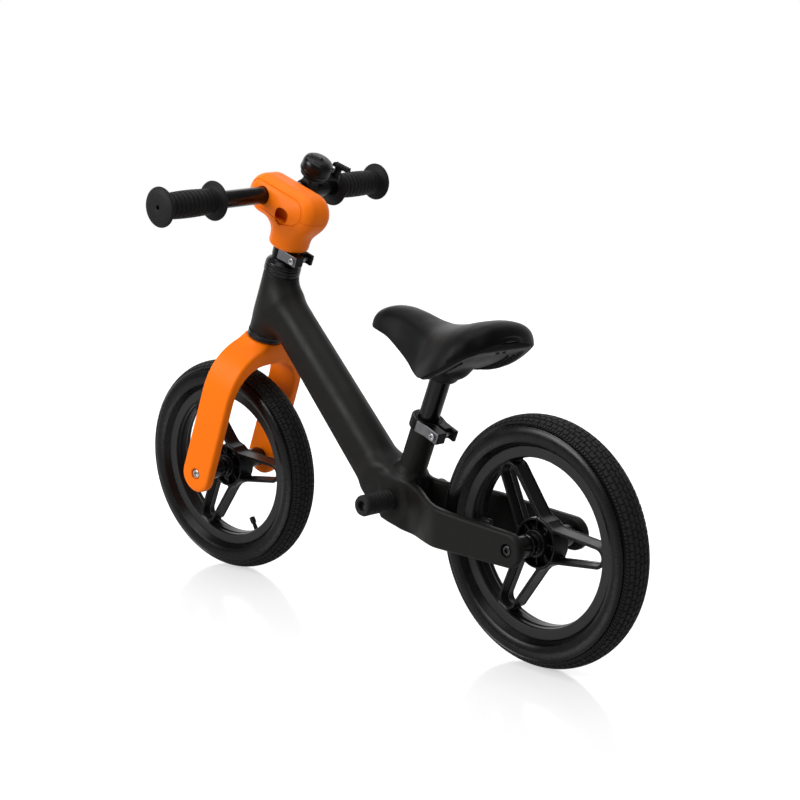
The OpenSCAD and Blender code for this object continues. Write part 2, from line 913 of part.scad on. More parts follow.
// Moulded plate under the cover, with a socket for the post
module saddle_base() {
  plate_inset = 4;
  socket_low = post_top - 20;
  color(soft_black) difference() {
    union() {
      translate(saddle_shift) for (k = [1:len(saddle_line) - 3])
        saddle_plate(saddle_line[k], saddle_line[k + 1], plate_inset);
      on_post() translate([0, 0, socket_low]) cylinder(r = socket_r, h = post_top + 4 - socket_low);
    }
    translate(saddle_shift) saddle_solid();
    on_post() translate([0, 0, post_top - 60]) cylinder(d = post_d, h = 60);
    saddle_pin_hole();
  }
}

// Slab between two stations
module saddle_plate(a, b, inset) {
  t = 9;
  polyhedron(
    points = [
      [a[0], -a[1] + inset, a[3] - t], [a[0], a[1] - inset, a[3] - t],
      [a[0], a[1] - inset, a[3] - 0.5], [a[0], -a[1] + inset, a[3] - 0.5],
      [b[0], -b[1] + inset, b[3] - t], [b[0], b[1] - inset, b[3] - t],
      [b[0], b[1] - inset, b[3] - 0.5], [b[0], -b[1] + inset, b[3] - 0.5]
    ],
    faces = [
      [0, 1, 2], [0, 2, 3], [4, 6, 5], [4, 7, 6],
      [0, 4, 5], [0, 5, 1], [1, 5, 6], [1, 6, 2],
      [2, 6, 7], [2, 7, 3], [3, 7, 4], [3, 4, 0]
    ]
  );
}

// Hole for the cross pin, through the socket and the post
module saddle_pin_hole() {
  on_post() translate([0, 0, pin_z]) upright() cylinder(r = pin_r + fit, h = 60, center = true);
}

module seat_post() {
  color(gloss_black) difference() {
    on_post() ring(post_d / 2 - 0.01, post_d / 2 - 2, post_low, post_top);
    saddle_pin_hole();
  }
}

// Cross pin that holds the base on the post, with a bolt head on each side
module saddle_bolts() {
  head_r = 5;
  head_h = 3.5;
  color(steel) on_post() translate([0, 0, pin_z]) {
    upright() cylinder(r = pin_r, h = 2 * socket_r + 2, center = true);
    both_sides() translate([0, socket_r + 0.1, 0]) rotate([-90, 0, 0]) cylinder(r = head_r, h = head_h);
  }
}

// ---------- assembly ----------

frame_casting();
headset_lower_cup();
headset_upper_cup();
headset_lower_bearing();
headset_upper_bearing();
seat_clamp_collar();
seat_clamp_bolt();
foot_peg_left();
foot_peg_right();
foot_peg_rod();
at_rear_wheel() axle(arm_outer - 7);  // rear_axle
at_rear_wheel() axle_bolts(arm_outer - recess_depth);  // rear_axle_bolts
at_rear_wheel() axle_spacers(arm_gap / 2);  // rear_axle_spacers
fork_casting();
steerer_tube();
crown_race();
headset_top_cover();
stem_clamp_collar();
stem_clamp_bolt();
in_fork() axle(leg_outer - 7);  // front_axle
in_fork() axle_bolts(leg_outer - recess_depth);  // front_axle_bolts
in_fork() axle_spacers(leg_inner);  // front_axle_spacers
quill_tube();
stem_core();
stem_lower_shell();
stem_upper_shell();
stem_side_panels();
handlebar();
grip_left();
grip_right();
bell_clamp();
bell_base();
bell_dome();
bell_dome_screw();
bell_lever();
at_front_wheel() wheel_casting(valve_angle_front);  // front_wheel_casting
at_front_wheel() tyre();  // front_tyre
at_front_wheel() inner_tube();  // front_inner_tube
at_front_wheel() valve(valve_angle_front);  // front_valve
at_front_wheel() bearings();  // front_bearings
at_rear_wheel() wheel_casting(valve_angle_rear);  // rear_wheel_casting
at_rear_wheel() tyre();  // rear_tyre
at_rear_wheel() inner_tube();  // rear_inner_tube
at_rear_wheel() valve(valve_angle_rear);  // rear_valve
at_rear_wheel() bearings();  // rear_bearings
seat_post();
saddle_base();
saddle_cover();
saddle_bolts();
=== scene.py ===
"""Balance bike: the looks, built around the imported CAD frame.

Lengths inside a piece are millimetres in that piece's own axes; a Matrix then puts it in the row frame.
"""
import json
import math

import bmesh
import bpy
import numpy as np
from mathutils import Matrix, Vector


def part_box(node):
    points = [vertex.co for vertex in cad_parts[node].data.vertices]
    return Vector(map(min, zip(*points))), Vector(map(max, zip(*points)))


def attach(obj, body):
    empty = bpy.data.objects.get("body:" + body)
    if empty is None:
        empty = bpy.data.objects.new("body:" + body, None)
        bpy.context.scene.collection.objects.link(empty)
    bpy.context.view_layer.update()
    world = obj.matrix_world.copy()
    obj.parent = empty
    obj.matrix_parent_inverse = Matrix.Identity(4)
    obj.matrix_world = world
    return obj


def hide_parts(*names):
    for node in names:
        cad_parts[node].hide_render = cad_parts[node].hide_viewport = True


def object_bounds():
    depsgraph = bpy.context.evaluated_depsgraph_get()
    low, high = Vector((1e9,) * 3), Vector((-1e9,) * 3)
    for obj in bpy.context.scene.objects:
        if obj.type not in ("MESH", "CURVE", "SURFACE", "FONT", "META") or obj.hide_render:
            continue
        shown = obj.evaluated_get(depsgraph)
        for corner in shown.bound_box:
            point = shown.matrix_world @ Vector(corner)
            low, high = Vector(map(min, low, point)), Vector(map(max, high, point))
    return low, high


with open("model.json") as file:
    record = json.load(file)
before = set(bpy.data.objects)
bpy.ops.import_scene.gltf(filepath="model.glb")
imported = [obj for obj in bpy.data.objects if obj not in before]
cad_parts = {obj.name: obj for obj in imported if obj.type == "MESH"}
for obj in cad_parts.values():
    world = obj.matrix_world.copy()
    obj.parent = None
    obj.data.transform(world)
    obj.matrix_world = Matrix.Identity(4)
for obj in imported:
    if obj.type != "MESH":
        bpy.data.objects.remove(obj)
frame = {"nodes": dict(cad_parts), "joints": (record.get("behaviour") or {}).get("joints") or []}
CAD_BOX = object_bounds()
JOINTS = {joint["name"]: joint for joint in frame["joints"]}
COARSE = 1.0


# ---------- axes of the row ----------

def axes(origin, x, y, z):
    """Matrix from a piece's own millimetres to the row frame in metres."""
    rows = [[x[i], y[i], z[i], 0] for i in range(3)] + [[0, 0, 0, 1]]
    return Matrix.Translation(origin) @ Matrix(rows) @ Matrix.Scale(0.001, 4)


UP = Vector((0, 0, 1))
SIDE = Vector((0, 1, 0))
FRONT_AXLE = Vector(JOINTS["front_wheel_spin"]["pos_m"])
REAR_AXLE = Vector(JOINTS["rear_wheel_spin"]["pos_m"])
STEER = Vector(JOINTS["steering"]["axis"]).normalized()
SEAT_UP = Vector(JOINTS["saddle_height"]["axis"]).normalized()
WHEEL_SIDE = Vector(JOINTS["front_wheel_spin"]["axis"]).normalized()
LEVER_AT = Vector(JOINTS["bell_lever"]["pos_m"])
BELL_UP = Vector(JOINTS["bell_lever"]["axis"]).normalized()
LEAN = math.acos(STEER.z)

low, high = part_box("foot_peg_rod")
PEGS = (low + high) / 2

HEAD = axes(FRONT_AXLE, SIDE.cross(STEER), SIDE, STEER)
FORK = axes(FRONT_AXLE, WHEEL_SIDE.cross(STEER), WHEEL_SIDE, STEER)
SEAT = axes(PEGS, SIDE.cross(SEAT_UP), SIDE, SEAT_UP)
ROW = axes(Vector((0, 0, 0)), SIDE.cross(UP), SIDE, UP)
REAR_WHEEL = axes(REAR_AXLE, Vector((1, 0, 0)), SIDE, UP)
FRONT_WHEEL = FORK @ Matrix.Rotation(LEAN, 4, "Y")
PEG_AXES = axes(PEGS, Vector((1, 0, 0)), SIDE, UP)


def span(node, place, axis):
    """How far a CAD node reaches along one of a place's axes, in that place's millimetres."""
    flat = np.array(place.inverted())
    co = np.array([v.co for v in frame["nodes"][node].data.vertices])
    along = co @ flat[axis, :3] + flat[axis, 3]
    return float(along.min()), float(along.max())


def middle(node, place, axis):
    first, last = span(node, place, axis)
    return (first + last) / 2


# ---------- distance fields, in millimetres ----------

def join(a, b, blend=0.0):
    """Union, with a fillet where blend is above 0."""
    if blend <= 0:
        return np.minimum(a, b)
    h = np.maximum(blend - np.abs(a - b), 0) / blend
    return np.minimum(a, b) - h * h * blend / 4


def meet(a, b, blend=0.0):
    """Intersection, with a rounded edge where blend is above 0."""
    return -join(-a, -b, blend)


def cut(a, b, blend=0.0):
    """a without b."""
    return -join(-a, b, blend)


def edge_round(a, b, r):
    """Intersection of two distances with an edge of radius r."""
    outside = np.hypot(np.maximum(a + r, 0), np.maximum(b + r, 0))
    return outside - r + np.minimum(np.maximum(a, b) + r, 0)


def rod(radial, along, r, first, last, edge=0.5):
    """Cylinder from its radial and axial coordinates."""
    half = (last - first) / 2
    return edge_round(radial - r, np.abs(along - (first + last) / 2) - half, edge)


def block(x, y, z, low_corner, high_corner, edge=0.5):
    """Box with rounded edges."""
    parts = []
    for value, first, last in zip((x, y, z), low_corner, high_corner):
        parts.append(np.abs(value - (first + last) / 2) - (last - first) / 2)
    return edge_round(edge_round(parts[0], parts[1], edge), parts[2], edge)


def tilted(x, z, origin, axis):
    """Coordinates across and along an axis that lies in the plane of x and z."""
    dx, dz = x - origin[0], z - origin[1]
    return dx * axis[1] - dz * axis[0], dx * axis[0] + dz * axis[1]


def curve(at, knots, values):
    """Smooth curve through (knots, values), which runs on level past its ends."""
    knots, values = np.asarray(knots, float), np.asarray(values, float)
    slopes = np.gradient(values, knots)
    at = np.clip(at, knots[0], knots[-1])
    k = np.clip(np.searchsorted(knots, at, side="right") - 1, 0, len(knots) - 2)
    gap = knots[k + 1] - knots[k]
    t = (at - knots[k]) / gap
    rise = values[k + 1] - values[k]
    return (values[k] + t * t * (3 - 2 * t) * rise
            + t * (1 - t) ** 2 * gap * slopes[k] - t * t * (1 - t) * gap * slopes[k + 1])


def wave(t):
    """Eases from 0 to 1."""
    t = np.clip(t, 0, 1)
    return (1 - np.cos(math.pi * t)) / 2


# ---------- meshes ----------

def grid_net(values, first, step):
    """Points and four-sided faces on the zero surface of a grid of distances."""
    inside = values < 0
    nx, ny, nz = values.shape
    corners = [(i, j, k) for i in (0, 1) for j in (0, 1) for k in (0, 1)]
    count = np.zeros((nx - 1, ny - 1, nz - 1), np.uint8)
    for i, j, k in corners:
        count += inside[i:nx - 1 + i, j:ny - 1 + j, k:nz - 1 + k]
    cells = np.argwhere((count > 0) & (count < 8))
    index = np.full(count.shape, -1, np.int32)
    index[tuple(cells.T)] = np.arange(len(cells))
    total = np.zeros((len(cells), 3))
    hits = np.zeros(len(cells))
    for axis in range(3):
        for corner in corners:
            if corner[axis]:
                continue
            a = cells + corner
            b = a.copy()
            b[:, axis] += 1
            va, vb = values[tuple(a.T)], values[tuple(b.T)]
            crossing = (va < 0) != (vb < 0)
            t = np.where(crossing, va / np.where(crossing, va - vb, 1), 0)
            spot = np.array(corner, float) + np.eye(3)[axis] * t[:, None]
            total += spot * crossing[:, None]
            hits += crossing
    points = (cells + total / hits[:, None]) * step + first
    faces = []
    for axis in range(3):
        u, v = (axis + 1) % 3, (axis + 2) % 3
        ahead = [slice(None)] * 3
        behind = [slice(None)] * 3
        ahead[axis], behind[axis] = slice(1, None), slice(None, -1)
        change = inside[tuple(behind)] != inside[tuple(ahead)]
        edges = np.argwhere(change)
        keep = (edges[:, u] > 0) & (edges[:, v] > 0)
        keep &= (edges[:, u] < values.shape[u] - 1) & (edges[:, v] < values.shape[v] - 1)
        edges = edges[keep]
        ring = []
        for du, dv in ((1, 1), (0, 1), (0, 0), (1, 0)):
            cell = edges.copy()
            cell[:, u] -= du
            cell[:, v] -= dv
            ring.append(index[tuple(cell.T)])
        ring = np.array(ring).T
        starts_inside = inside[tuple(edges.T)]
        faces.append(np.where(starts_inside[:, None], ring, ring[:, ::-1]))
    return points, np.concatenate(faces)


def even_out(points, faces, field, rounds, reach):
    """Spreads the points evenly and puts them back on the field's zero surface."""
    a = faces.reshape(-1)
    b = np.roll(faces, -1, axis=1).reshape(-1)
    ends = np.concatenate([a, b])
    others = np.concatenate([b, a])
    degree = np.bincount(ends, minlength=len(points))
    delta = 0.05
    for _ in range(rounds):
        near = np.stack([np.bincount(ends, points[others, i], len(points)) for i in range(3)], 1)
        points = points * 0.5 + near / degree[:, None] * 0.5
        for _ in range(2):
            x, y, z = points.T
            value = field(x, y, z)
            slope = np.stack([
                field(x + delta, y, z) - value,
                field(x, y + delta, z) - value,
                field(x, y, z + delta) - value,
            ], 1) / delta
            size = np.maximum((slope ** 2).sum(1), 0.2)
            move = np.clip(value / size, -reach, reach)
            points = points - slope * move[:, None]
    return points


def new_object(name, points, faces, place, material, sharp=40):
    mesh = bpy.data.meshes.new(name)
    mesh.from_pydata([tuple(p) for p in points], [], [tuple(int(i) for i in f) for f in faces])
    mesh.transform(place)
    mesh.materials.append(material)
    mesh.shade_smooth()
    mesh.set_sharp_from_angle(angle=math.radians(sharp))
    obj = bpy.data.objects.new(name, mesh)
    bpy.context.scene.collection.objects.link(obj)
    return obj


def cast(name, field, low_corner, high_corner, step, place, material, rounds=3, sharp=50):
    """Piece whose surface is where the field is zero."""
    step = step * COARSE
    first = np.array(low_corner, float) - 1.5 * step
    size = [int(math.ceil((h - l) / step)) + 4 for l, h in zip(low_corner, high_corner)]
    x = (first[0] + step * np.arange(size[0]))[:, None, None]
    y = (first[1] + step * np.arange(size[1]))[None, :, None]
    z = (first[2] + step * np.arange(size[2]))[None, None, :]
    values = np.broadcast_to(field(x, y, z), size)
    points, faces = grid_net(values, first, step)
    points = even_out(points, faces, field, rounds, step)
    return new_object(name, points, faces, place, material, sharp)


def eased(outline, r=0.4, steps=3):
    """Closed outline with its corners rounded; a third number at a corner is its own radius."""
    result = []
    count = len(outline)
    for i, corner in enumerate(outline):
        here = np.array(corner[:2], float)
        radius = corner[2] if len(corner) > 2 else r
        before = np.array(outline[i - 1][:2], float) - here
        after = np.array(outline[(i + 1) % count][:2], float) - here
        la, lb = np.hypot(*before), np.hypot(*after)
        on_axis = here[0] <= 1e-6
        if radius <= 0 or on_axis or min(la, lb) < 1e-6:
            result.append(tuple(here))
            continue
        before, after = before / la, after / lb
        half = math.acos(float(np.clip(before @ after, -1, 1))) / 2
        reach = min(radius / max(math.tan(half), 1e-3), la * 0.49, lb * 0.49)
        start, end = here + before * reach, here + after * reach
        for k in range(steps + 1):
            t = k / steps
            result.append(tuple((1 - t) ** 2 * start + 2 * t * (1 - t) * here + t * t * end))
    return result


def turned_mesh(outline, turns):
    """Points and faces of a closed outline of (radius, height) turned about the height axis."""
    angle = np.arange(turns) * 2 * math.pi / turns
    points, rings = [], []
    for r, h in outline:
        if r <= 1e-6:
            rings.append([len(points)] * turns)
            points.append((0, 0, h))
        else:
            rings.append(list(range(len(points), len(points) + turns)))
            points += [(r * math.cos(a), r * math.sin(a), h) for a in angle]
    faces = []
    for k in range(len(rings)):
        lower, upper = rings[k], rings[(k + 1) % len(rings)]
        for i in range(turns):
            j = (i + 1) % turns
            face = list(dict.fromkeys((lower[i], lower[j], upper[j], upper[i])))
            if len(face) > 2:
                faces.append(face)
    return points, faces


def turned(name, outline, place, material, r=0.4, turns=96, mirror=False):
    """Turned piece about the place's Z axis; mirror adds the same shape on the other side of z = 0."""
    points, faces = turned_mesh(eased(outline, r), turns)
    if mirror:
        count = len(points)
        points = points + [(x, y, -z) for x, y, z in points]
        faces = faces + [[i + count for i in reversed(f)] for f in faces]
    obj = new_object(name, points, faces, place, material)
    recalculate(obj)
    return obj


def recalculate(obj):
    mesh = bmesh.new()
    mesh.from_mesh(obj.data)
    bmesh.ops.recalc_face_normals(mesh, faces=mesh.faces)
    mesh.to_mesh(obj.data)
    mesh.free()


def about_y(place):
    """The place turned so that its local Z lies along its old Y."""
    return place @ Matrix.Rotation(-math.pi / 2, 4, "X")


def bore_axle(body, radial, side, outer):
    """The body with the axle's bore, and a pocket for the bolt in its outer face."""
    body = cut(body, radial - AXLE_BORE, 0.3)
    return cut(body, rod(radial, side, BOLT_POCKET_R, outer - BOLT_POCKET_DEEP, outer + 20, 0.3), 0.9)


def add(obj, body, slot, *nodes):
    """Gives a piece its body and hides the CAD nodes it stands for; slot is not used."""
    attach(obj, body)
    if nodes:
        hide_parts(*nodes)
    return obj


def add_pair(pieces, body, slot, node):
    """Adds a left and a right piece that stand for one CAD node together."""
    for piece in pieces:
        add(piece, body, slot)
    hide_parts(node)


# ---------- materials ----------

class Nodes:
    """Short way to lay out a node material."""

    def __init__(self, name):
        self.material = bpy.data.materials.new(name)
        self.material.use_nodes = True
        self.tree = self.material.node_tree
        self.shader = self.tree.nodes["Principled BSDF"]
        self.place = self.tree.nodes.new("ShaderNodeTexCoord").outputs["Object"]

    def node(self, kind, **inputs):
        made = self.tree.nodes.new(kind)
        for key, value in inputs.items():
            self.feed(made.inputs[key.replace("_", " ")], value)
        return made

    def feed(self, socket, value):
        if isinstance(value, bpy.types.NodeSocket):
            self.tree.links.new(value, socket)
        else:
            socket.default_value = value

    def noise(self, scale, detail=3.0, rough=0.55, vector=None):
        made = self.node("ShaderNodeTexNoise", Scale=scale, Detail=detail, Roughness=rough,
                         Vector=vector or self.place)
        return made.outputs["Fac"]

    def spread(self, value, low, high, first=0.3, last=0.7):
        made = self.tree.nodes.new("ShaderNodeMapRange")
        self.feed(made.inputs["Value"], value)
        self.feed(made.inputs["From Min"], first)
        self.feed(made.inputs["From Max"], last)
        self.feed(made.inputs["To Min"], low)
        self.feed(made.inputs["To Max"], high)
        return made.outputs["Result"]

    def mix(self, share, a, b):
        made = self.tree.nodes.new("ShaderNodeMix")
        made.data_type = "RGBA"
        self.feed(made.inputs[0], share)
        self.feed(made.inputs[6], a)
        self.feed(made.inputs[7], b)
        return made.outputs[2]

    def math(self, operation, a, b):
        made = self.tree.nodes.new("ShaderNodeMath")
        made.operation = operation
        self.feed(made.inputs[0], a)
        self.feed(made.inputs[1], b)
        return made.outputs[0]

    def bump(self, height, depth_mm, strength=1.0, normal=None):
        made = self.node("ShaderNodeBump", Height=height, Distance=depth_mm * 0.001, Strength=strength)
        if normal:
            self.feed(made.inputs["Normal"], normal)
        return made.outputs["Normal"]

    def stretched(self, x, y, z):
        made = self.node("ShaderNodeMapping", Vector=self.place)
        made.inputs["Scale"].default_value = (x, y, z)
        return made.outputs["Vector"]


def rgb(red, green, blue):
    """Linear colour from screen values 0 to 255."""
    def one(v):
        v = v / 255
        return v / 12.92 if v <= 0.04045 else ((v + 0.055) / 1.055) ** 2.4
    return (one(red), one(green), one(blue), 1)


def shade(color, factor):
    return tuple(min(1, c * factor) for c in color[:3]) + (1,)


def surface(name, color, rough, metal=0.0, coat=0.0, mottle=0.08, grain_mm=1.0, grain_depth=0.01,
            rough_spread=0.06, specular=0.2, dust=0.0, dust_color=(0.12, 0.117, 0.11, 1)):
    """Moulded or painted surface: soft colour clouds, uneven gloss, a fine grain and a trace of dust."""
    n = Nodes(name)
    clouds = n.spread(n.noise(14, 4), 0, 1)
    tone = n.mix(clouds, shade(color, 1 - mottle), shade(color, 1 + mottle))
    if dust > 0:
        settled = n.spread(n.noise(60, 6, 0.7), 0, dust, 0.45, 0.8)
        tone = n.mix(settled, tone, dust_color)
    n.feed(n.shader.inputs["Base Color"], tone)
    handled = n.noise(38, 5, 0.65)
    n.feed(n.shader.inputs["Roughness"], n.spread(handled, rough - rough_spread, rough + rough_spread))
    n.shader.inputs["Metallic"].default_value = metal
    n.shader.inputs["Specular IOR Level"].default_value = specular
    if coat:
        n.shader.inputs["Coat Weight"].default_value = coat
        n.shader.inputs["Coat Roughness"].default_value = 0.08
    fine = n.noise(1000 / grain_mm, 2)
    broad = n.noise(45, 2)
    normal = n.bump(fine, grain_depth)
    normal = n.bump(broad, 0.12, 0.35, normal)
    n.feed(n.shader.inputs["Normal"], normal)
    return n.material


def machined(name, color, rough, pitch=0.0012):
    """Metal with fine tool lines and a few stains."""
    n = Nodes(name)
    lines = n.noise(1 / pitch, 3, 0.6, n.stretched(0.05, 1.0, 1.0))
    stains = n.spread(n.noise(120, 6, 0.7), 0, 1, 0.35, 0.75)
    n.feed(n.shader.inputs["Base Color"], n.mix(stains, color, shade(color, 0.72)))
    n.feed(n.shader.inputs["Roughness"], n.spread(lines, rough - 0.07, rough + 0.1))
    n.shader.inputs["Metallic"].default_value = 1.0
    n.feed(n.shader.inputs["Normal"], n.bump(lines, 0.01))
    return n.material


def vinyl(name, color):
    """Smooth moulded saddle skin: a very fine leather grain under an even, soft gloss."""
    n = Nodes(name)
    clouds = n.spread(n.noise(11, 4), 0, 1)
    n.feed(n.shader.inputs["Base Color"], n.mix(clouds, shade(color, 0.85), shade(color, 1.2)))
    worn = n.spread(n.noise(24, 5, 0.6), 0.4, 0.5)
    n.feed(n.shader.inputs["Roughness"], worn)
    cells = n.node("ShaderNodeTexVoronoi", Vector=n.place, Scale=900.0)
    cells.feature = "DISTANCE_TO_EDGE"
    pores = n.noise(2200, 2)
    height = n.math("ADD", n.math("MINIMUM", cells.outputs["Distance"], 0.12), n.math("MULTIPLY", pores, 0.1))
    n.feed(n.shader.inputs["Normal"], n.bump(height, 0.05, 0.5))
    n.shader.inputs["Specular IOR Level"].default_value = 0.11
    n.shader.inputs["Sheen Weight"].default_value = 0.02
    n.shader.inputs["Sheen Roughness"].default_value = 0.4
    return n.material


PAINT_FRAME = surface("frame_powder_coat", rgb(13, 12, 10), 0.5, mottle=0.1, grain_mm=0.7,
                      grain_depth=0.012, dust=0.015)
PAINT_FORK = surface("fork_satin_paint", rgb(255, 119, 0), 0.46, mottle=0.02, grain_mm=0.9,
                     grain_depth=0.008, specular=0.14)
PLASTIC_STEM = surface("stem_cover_plastic", rgb(255, 121, 12), 0.4, mottle=0.02, grain_mm=0.6,
                       grain_depth=0.012, specular=0.14)
PLASTIC_WHEEL = surface("wheel_nylon", rgb(16, 16, 17), 0.33, mottle=0.12, grain_mm=0.5,
                        grain_depth=0.012, dust=0.02)
# Lighter grey for the rim's flat side faces: a painted sheen of the key light on the same black nylon.
RIM_PAINTED_SHEEN = surface("rim_painted_sheen_nylon", rgb(44, 44, 45), 0.52, mottle=0.08, grain_mm=0.5,
                           grain_depth=0.012, dust=0.02)
PLASTIC_BLACK = surface("black_plastic", rgb(18, 18, 19), 0.46, mottle=0.12, grain_mm=0.5,
                        grain_depth=0.015)
PLASTIC_BASE = surface("saddle_base_plastic", rgb(17, 17, 18), 0.5, mottle=0.12, grain_mm=0.4,
                       grain_depth=0.02)
RUBBER_TREAD = surface("tread_rubber", rgb(23, 23, 23), 0.72, mottle=0.15, grain_mm=0.5,
                       grain_depth=0.03, dust=0.06, specular=0.3)
RUBBER_WALL = surface("sidewall_rubber", rgb(8, 8, 8), 0.27, mottle=0.12, grain_mm=0.8,
                      grain_depth=0.005, dust=0.004, specular=0.26)
RUBBER_GRIP = surface("grip_rubber", rgb(18, 18, 19), 0.58, mottle=0.12, grain_mm=0.4,
                      grain_depth=0.02, dust=0.03)
RUBBER_PEG = surface("peg_rubber", rgb(31, 31, 32), 0.6, mottle=0.12, grain_mm=0.4,
                     grain_depth=0.02, dust=0.03)
RUBBER_TUBE = surface("butyl_tube", rgb(16, 16, 16), 0.6, grain_mm=0.8, grain_depth=0.02)
GLOSS_BLACK = surface("gloss_black_enamel", rgb(9, 9, 10), 0.24, coat=0.25, mottle=0.1,
                      grain_mm=1.6, grain_depth=0.004, rough_spread=0.05)
CUP_BLACK = surface("headset_black", rgb(18, 18, 19), 0.32, coat=0.2, mottle=0.1, grain_mm=0.8,
                    grain_depth=0.006)
BELL_BLACK = surface("bell_enamel", rgb(10, 10, 11), 0.3, coat=0.1, mottle=0.1, grain_mm=0.8,
                     grain_depth=0.006)
# Lighter grey metal for the clamps' left ear faces: a painted reflection of the front-left key light on the
# black clamp.
CLAMP_PAINTED_REFLECTION = machined("clamp_painted_reflection", rgb(120, 120, 123), 0.48)
ALLOY_DARK = surface("clamp_black_anodised", rgb(20, 20, 22), 0.34, metal=0.6, grain_mm=0.4,
                     grain_depth=0.01)
BOLT_STEEL = machined("bolt_steel", rgb(205, 205, 208), 0.26)
BOLT_DARK = machined("bolt_black_steel", rgb(74, 74, 76), 0.3)
PLAIN_STEEL = machined("plain_steel", rgb(150, 151, 154), 0.35)
VALVE_DARK = surface("valve_black_metal", rgb(34, 34, 35), 0.34, metal=0.3, grain_mm=0.4, grain_depth=0.01)
VINYL = vinyl("saddle_vinyl", rgb(6, 6, 7))


# ---------- wheels ----------

AXLE_BORE = 4.1
BOLT_POCKET_R = 7.6
BOLT_POCKET_DEEP = 4.4
SEAT_BORE = 12.9
BAR_BORE = 11.12
SIDES = (("left", 0), ("right", math.pi))

RIM_BORE = 97.0
FLANGE_R = 110.0
SPOKE_WALL = 3.8
DRUM_R = 29.0
LOOP_TURNS = (60, 180, 300)


def loop_shape(u, v, inset):
    """Distance to one looped spoke's outline, which points along u."""
    end_at, end_r, root = 85.0, 12.5 - inset, 20.5 - inset
    slope = (root - end_r) / (end_at - 12)
    side = (np.abs(v) - (end_r + slope * (end_at - u))) / math.hypot(1, slope)
    return np.where(u > end_at, np.hypot(u - end_at, v) - end_r, side)


def wheel_field(x, y, z):
    """Wheel casting; y is the axle. Directions in the wheel's plane run from x towards z."""
    r = np.hypot(x, z)
    side = np.abs(y)
    rim_half = 13.5
    rim = rod(r, y, FLANGE_R, -rim_half, rim_half, 0.8)
    bore = RIM_BORE - 1.2 * wave((6.5 - side) / 3) + 1.0 * wave((side - 10.5) / 3)
    rim = edge_round(rim, bore - r, 0.8)
    rim = cut(rim, block(r, y, 0 * r, (101.5, -10.5, -1), (130, 10.5, 1), 0.5), 0.3)
    outer = None
    inner = None
    for turn in LOOP_TURNS:
        c, s = math.cos(math.radians(turn)), math.sin(math.radians(turn))
        u, v = x * c + z * s, z * c - x * s
        ahead = np.where(u > 0, 0, -u)
        lip = 0.7 * wave((side - 8.6) / 1.2)
        shape = loop_shape(u, v, 0) + ahead - lip
        hole = loop_shape(u, v, SPOKE_WALL) + ahead - 0.5 * wave((side - 1) / 8) + 0.8 * wave(1.2 - side)
        lug = block(np.abs(u - 93), np.abs(v) - 6.5, side, (-1, -1.3, -1), (5.5, 1.3, 9.5), 0.5)
        shape = join(shape, lug, 2)
        outer = shape if outer is None else join(outer, shape, 14)
        inner = hole if inner is None else np.minimum(inner, hole)
    loops = edge_round(cut(outer, inner, 0.8), side - 11, 0.9)
    loops = cut(loops, r - (DRUM_R - 1), 0)
    loops = meet(loops, r - (RIM_BORE + 2), 0)
    body = join(rim, loops, 3.5)
    drum = edge_round(rod(r, y, DRUM_R, -12, 12, 0.8), (DRUM_R - 2.6) - r, 0.8)
    web = rod(r, y, DRUM_R - 1, -2, 2, 0.3)
    boss = rod(r, y, 16, -15, 15, 0.8)
    ribs = None
    for k in range(4):
        c, s = math.cos(math.pi * k / 4), math.sin(math.pi * k / 4)
        v = np.abs(z * c - x * s) - 1.1
        ribs = v if ribs is None else np.minimum(ribs, v)
    ribs = meet(meet(ribs, r - (DRUM_R - 1)), side - 9.5, 1)
    middle_part = join(join(join(drum, web, 1.5), boss, 1.5), ribs, 1.2)
    body = join(body, middle_part, 2.5)
    pocket = rod(r, side, 11.2, 8, 20, 0.2)
    return cut(cut(body, pocket), r - 9)


def valve_parts(name, place, turn, body, node):
    """Valve stem with a threaded barrel and a ribbed cap, pointing at the axle."""
    first, last = 78.0, 102.0
    thread = first + 9
    outline = [(0, first), (2.6, first, 0.8), (3.9, first + 1.2, 0.4), (3.9, first + 8.5, 0.4), (3.0, thread)]
    for k in range(int(last - thread)):
        outline += [(2.95, thread + k + 0.3, 0), (2.6, thread + k + 0.7, 0)]
    outline += [(3, last), (0, last)]
    spin = Matrix.Rotation(math.radians(90 - turn), 4, "Y")
    obj = turned(name, outline, place @ spin, VALVE_DARK, 0.3, 24)
    return add(obj, body, "valve_metal", node)


def make_wheel(end, place, body, valve_turn):
    extent = (FLANGE_R + 1, 17, FLANGE_R + 1)
    hollow = cast(end + "_wheel", wheel_field, [-e for e in extent], extent, 0.9, place, PLASTIC_WHEEL)
    # The rim's flat side faces get the lighter grey second material, a painted sheen.
    hollow.data.materials.append(RIM_PAINTED_SHEEN)
    flat = place.inverted()
    for polygon in hollow.data.polygons:
        spot = flat @ polygon.center
        if abs(spot.y) > 12.9 and math.hypot(spot.x, spot.z) > 97.5:
            polygon.material_index = 1
    add(hollow, body, "wheel_plastic", end + "_wheel_casting")
    valve_parts(end + "_valve_stem", place, valve_turn, body, end + "_valve")
    make_tyre(end, place, body)


PITCHES = 104
TREAD_TURN = 60.0


def tyre_section():
    """Outline of the carcass: (turn about the tread circle, radius, half width share), from bead to bead."""
    turns = [-115, -108, -100, -92, -84, -77, -71, -68.5, -67, -64.5, -63, -TREAD_TURN]
    rows = [(t, 0.0, False) for t in turns]
    edges = (-45, -30, -15, 0, 15, 30, 45)
    last = -TREAD_TURN
    for edge in edges:
        gap = edge - last
        rows += [(last + gap * s, 0.0, True) for s in (0.35, 0.65)]
        rows += [(edge - 2.3, 0.0, True), (edge - 1.3, 1.0, True),
                 (edge + 1.3, 1.0, True), (edge + 2.3, 0.0, True)]
        last = edge
    gap = TREAD_TURN - last
    rows += [(last + gap * s, 0.0, True) for s in (0.35, 0.65)]
    rows += [(-t, 0.0, False) for t in reversed(turns)]
    return rows


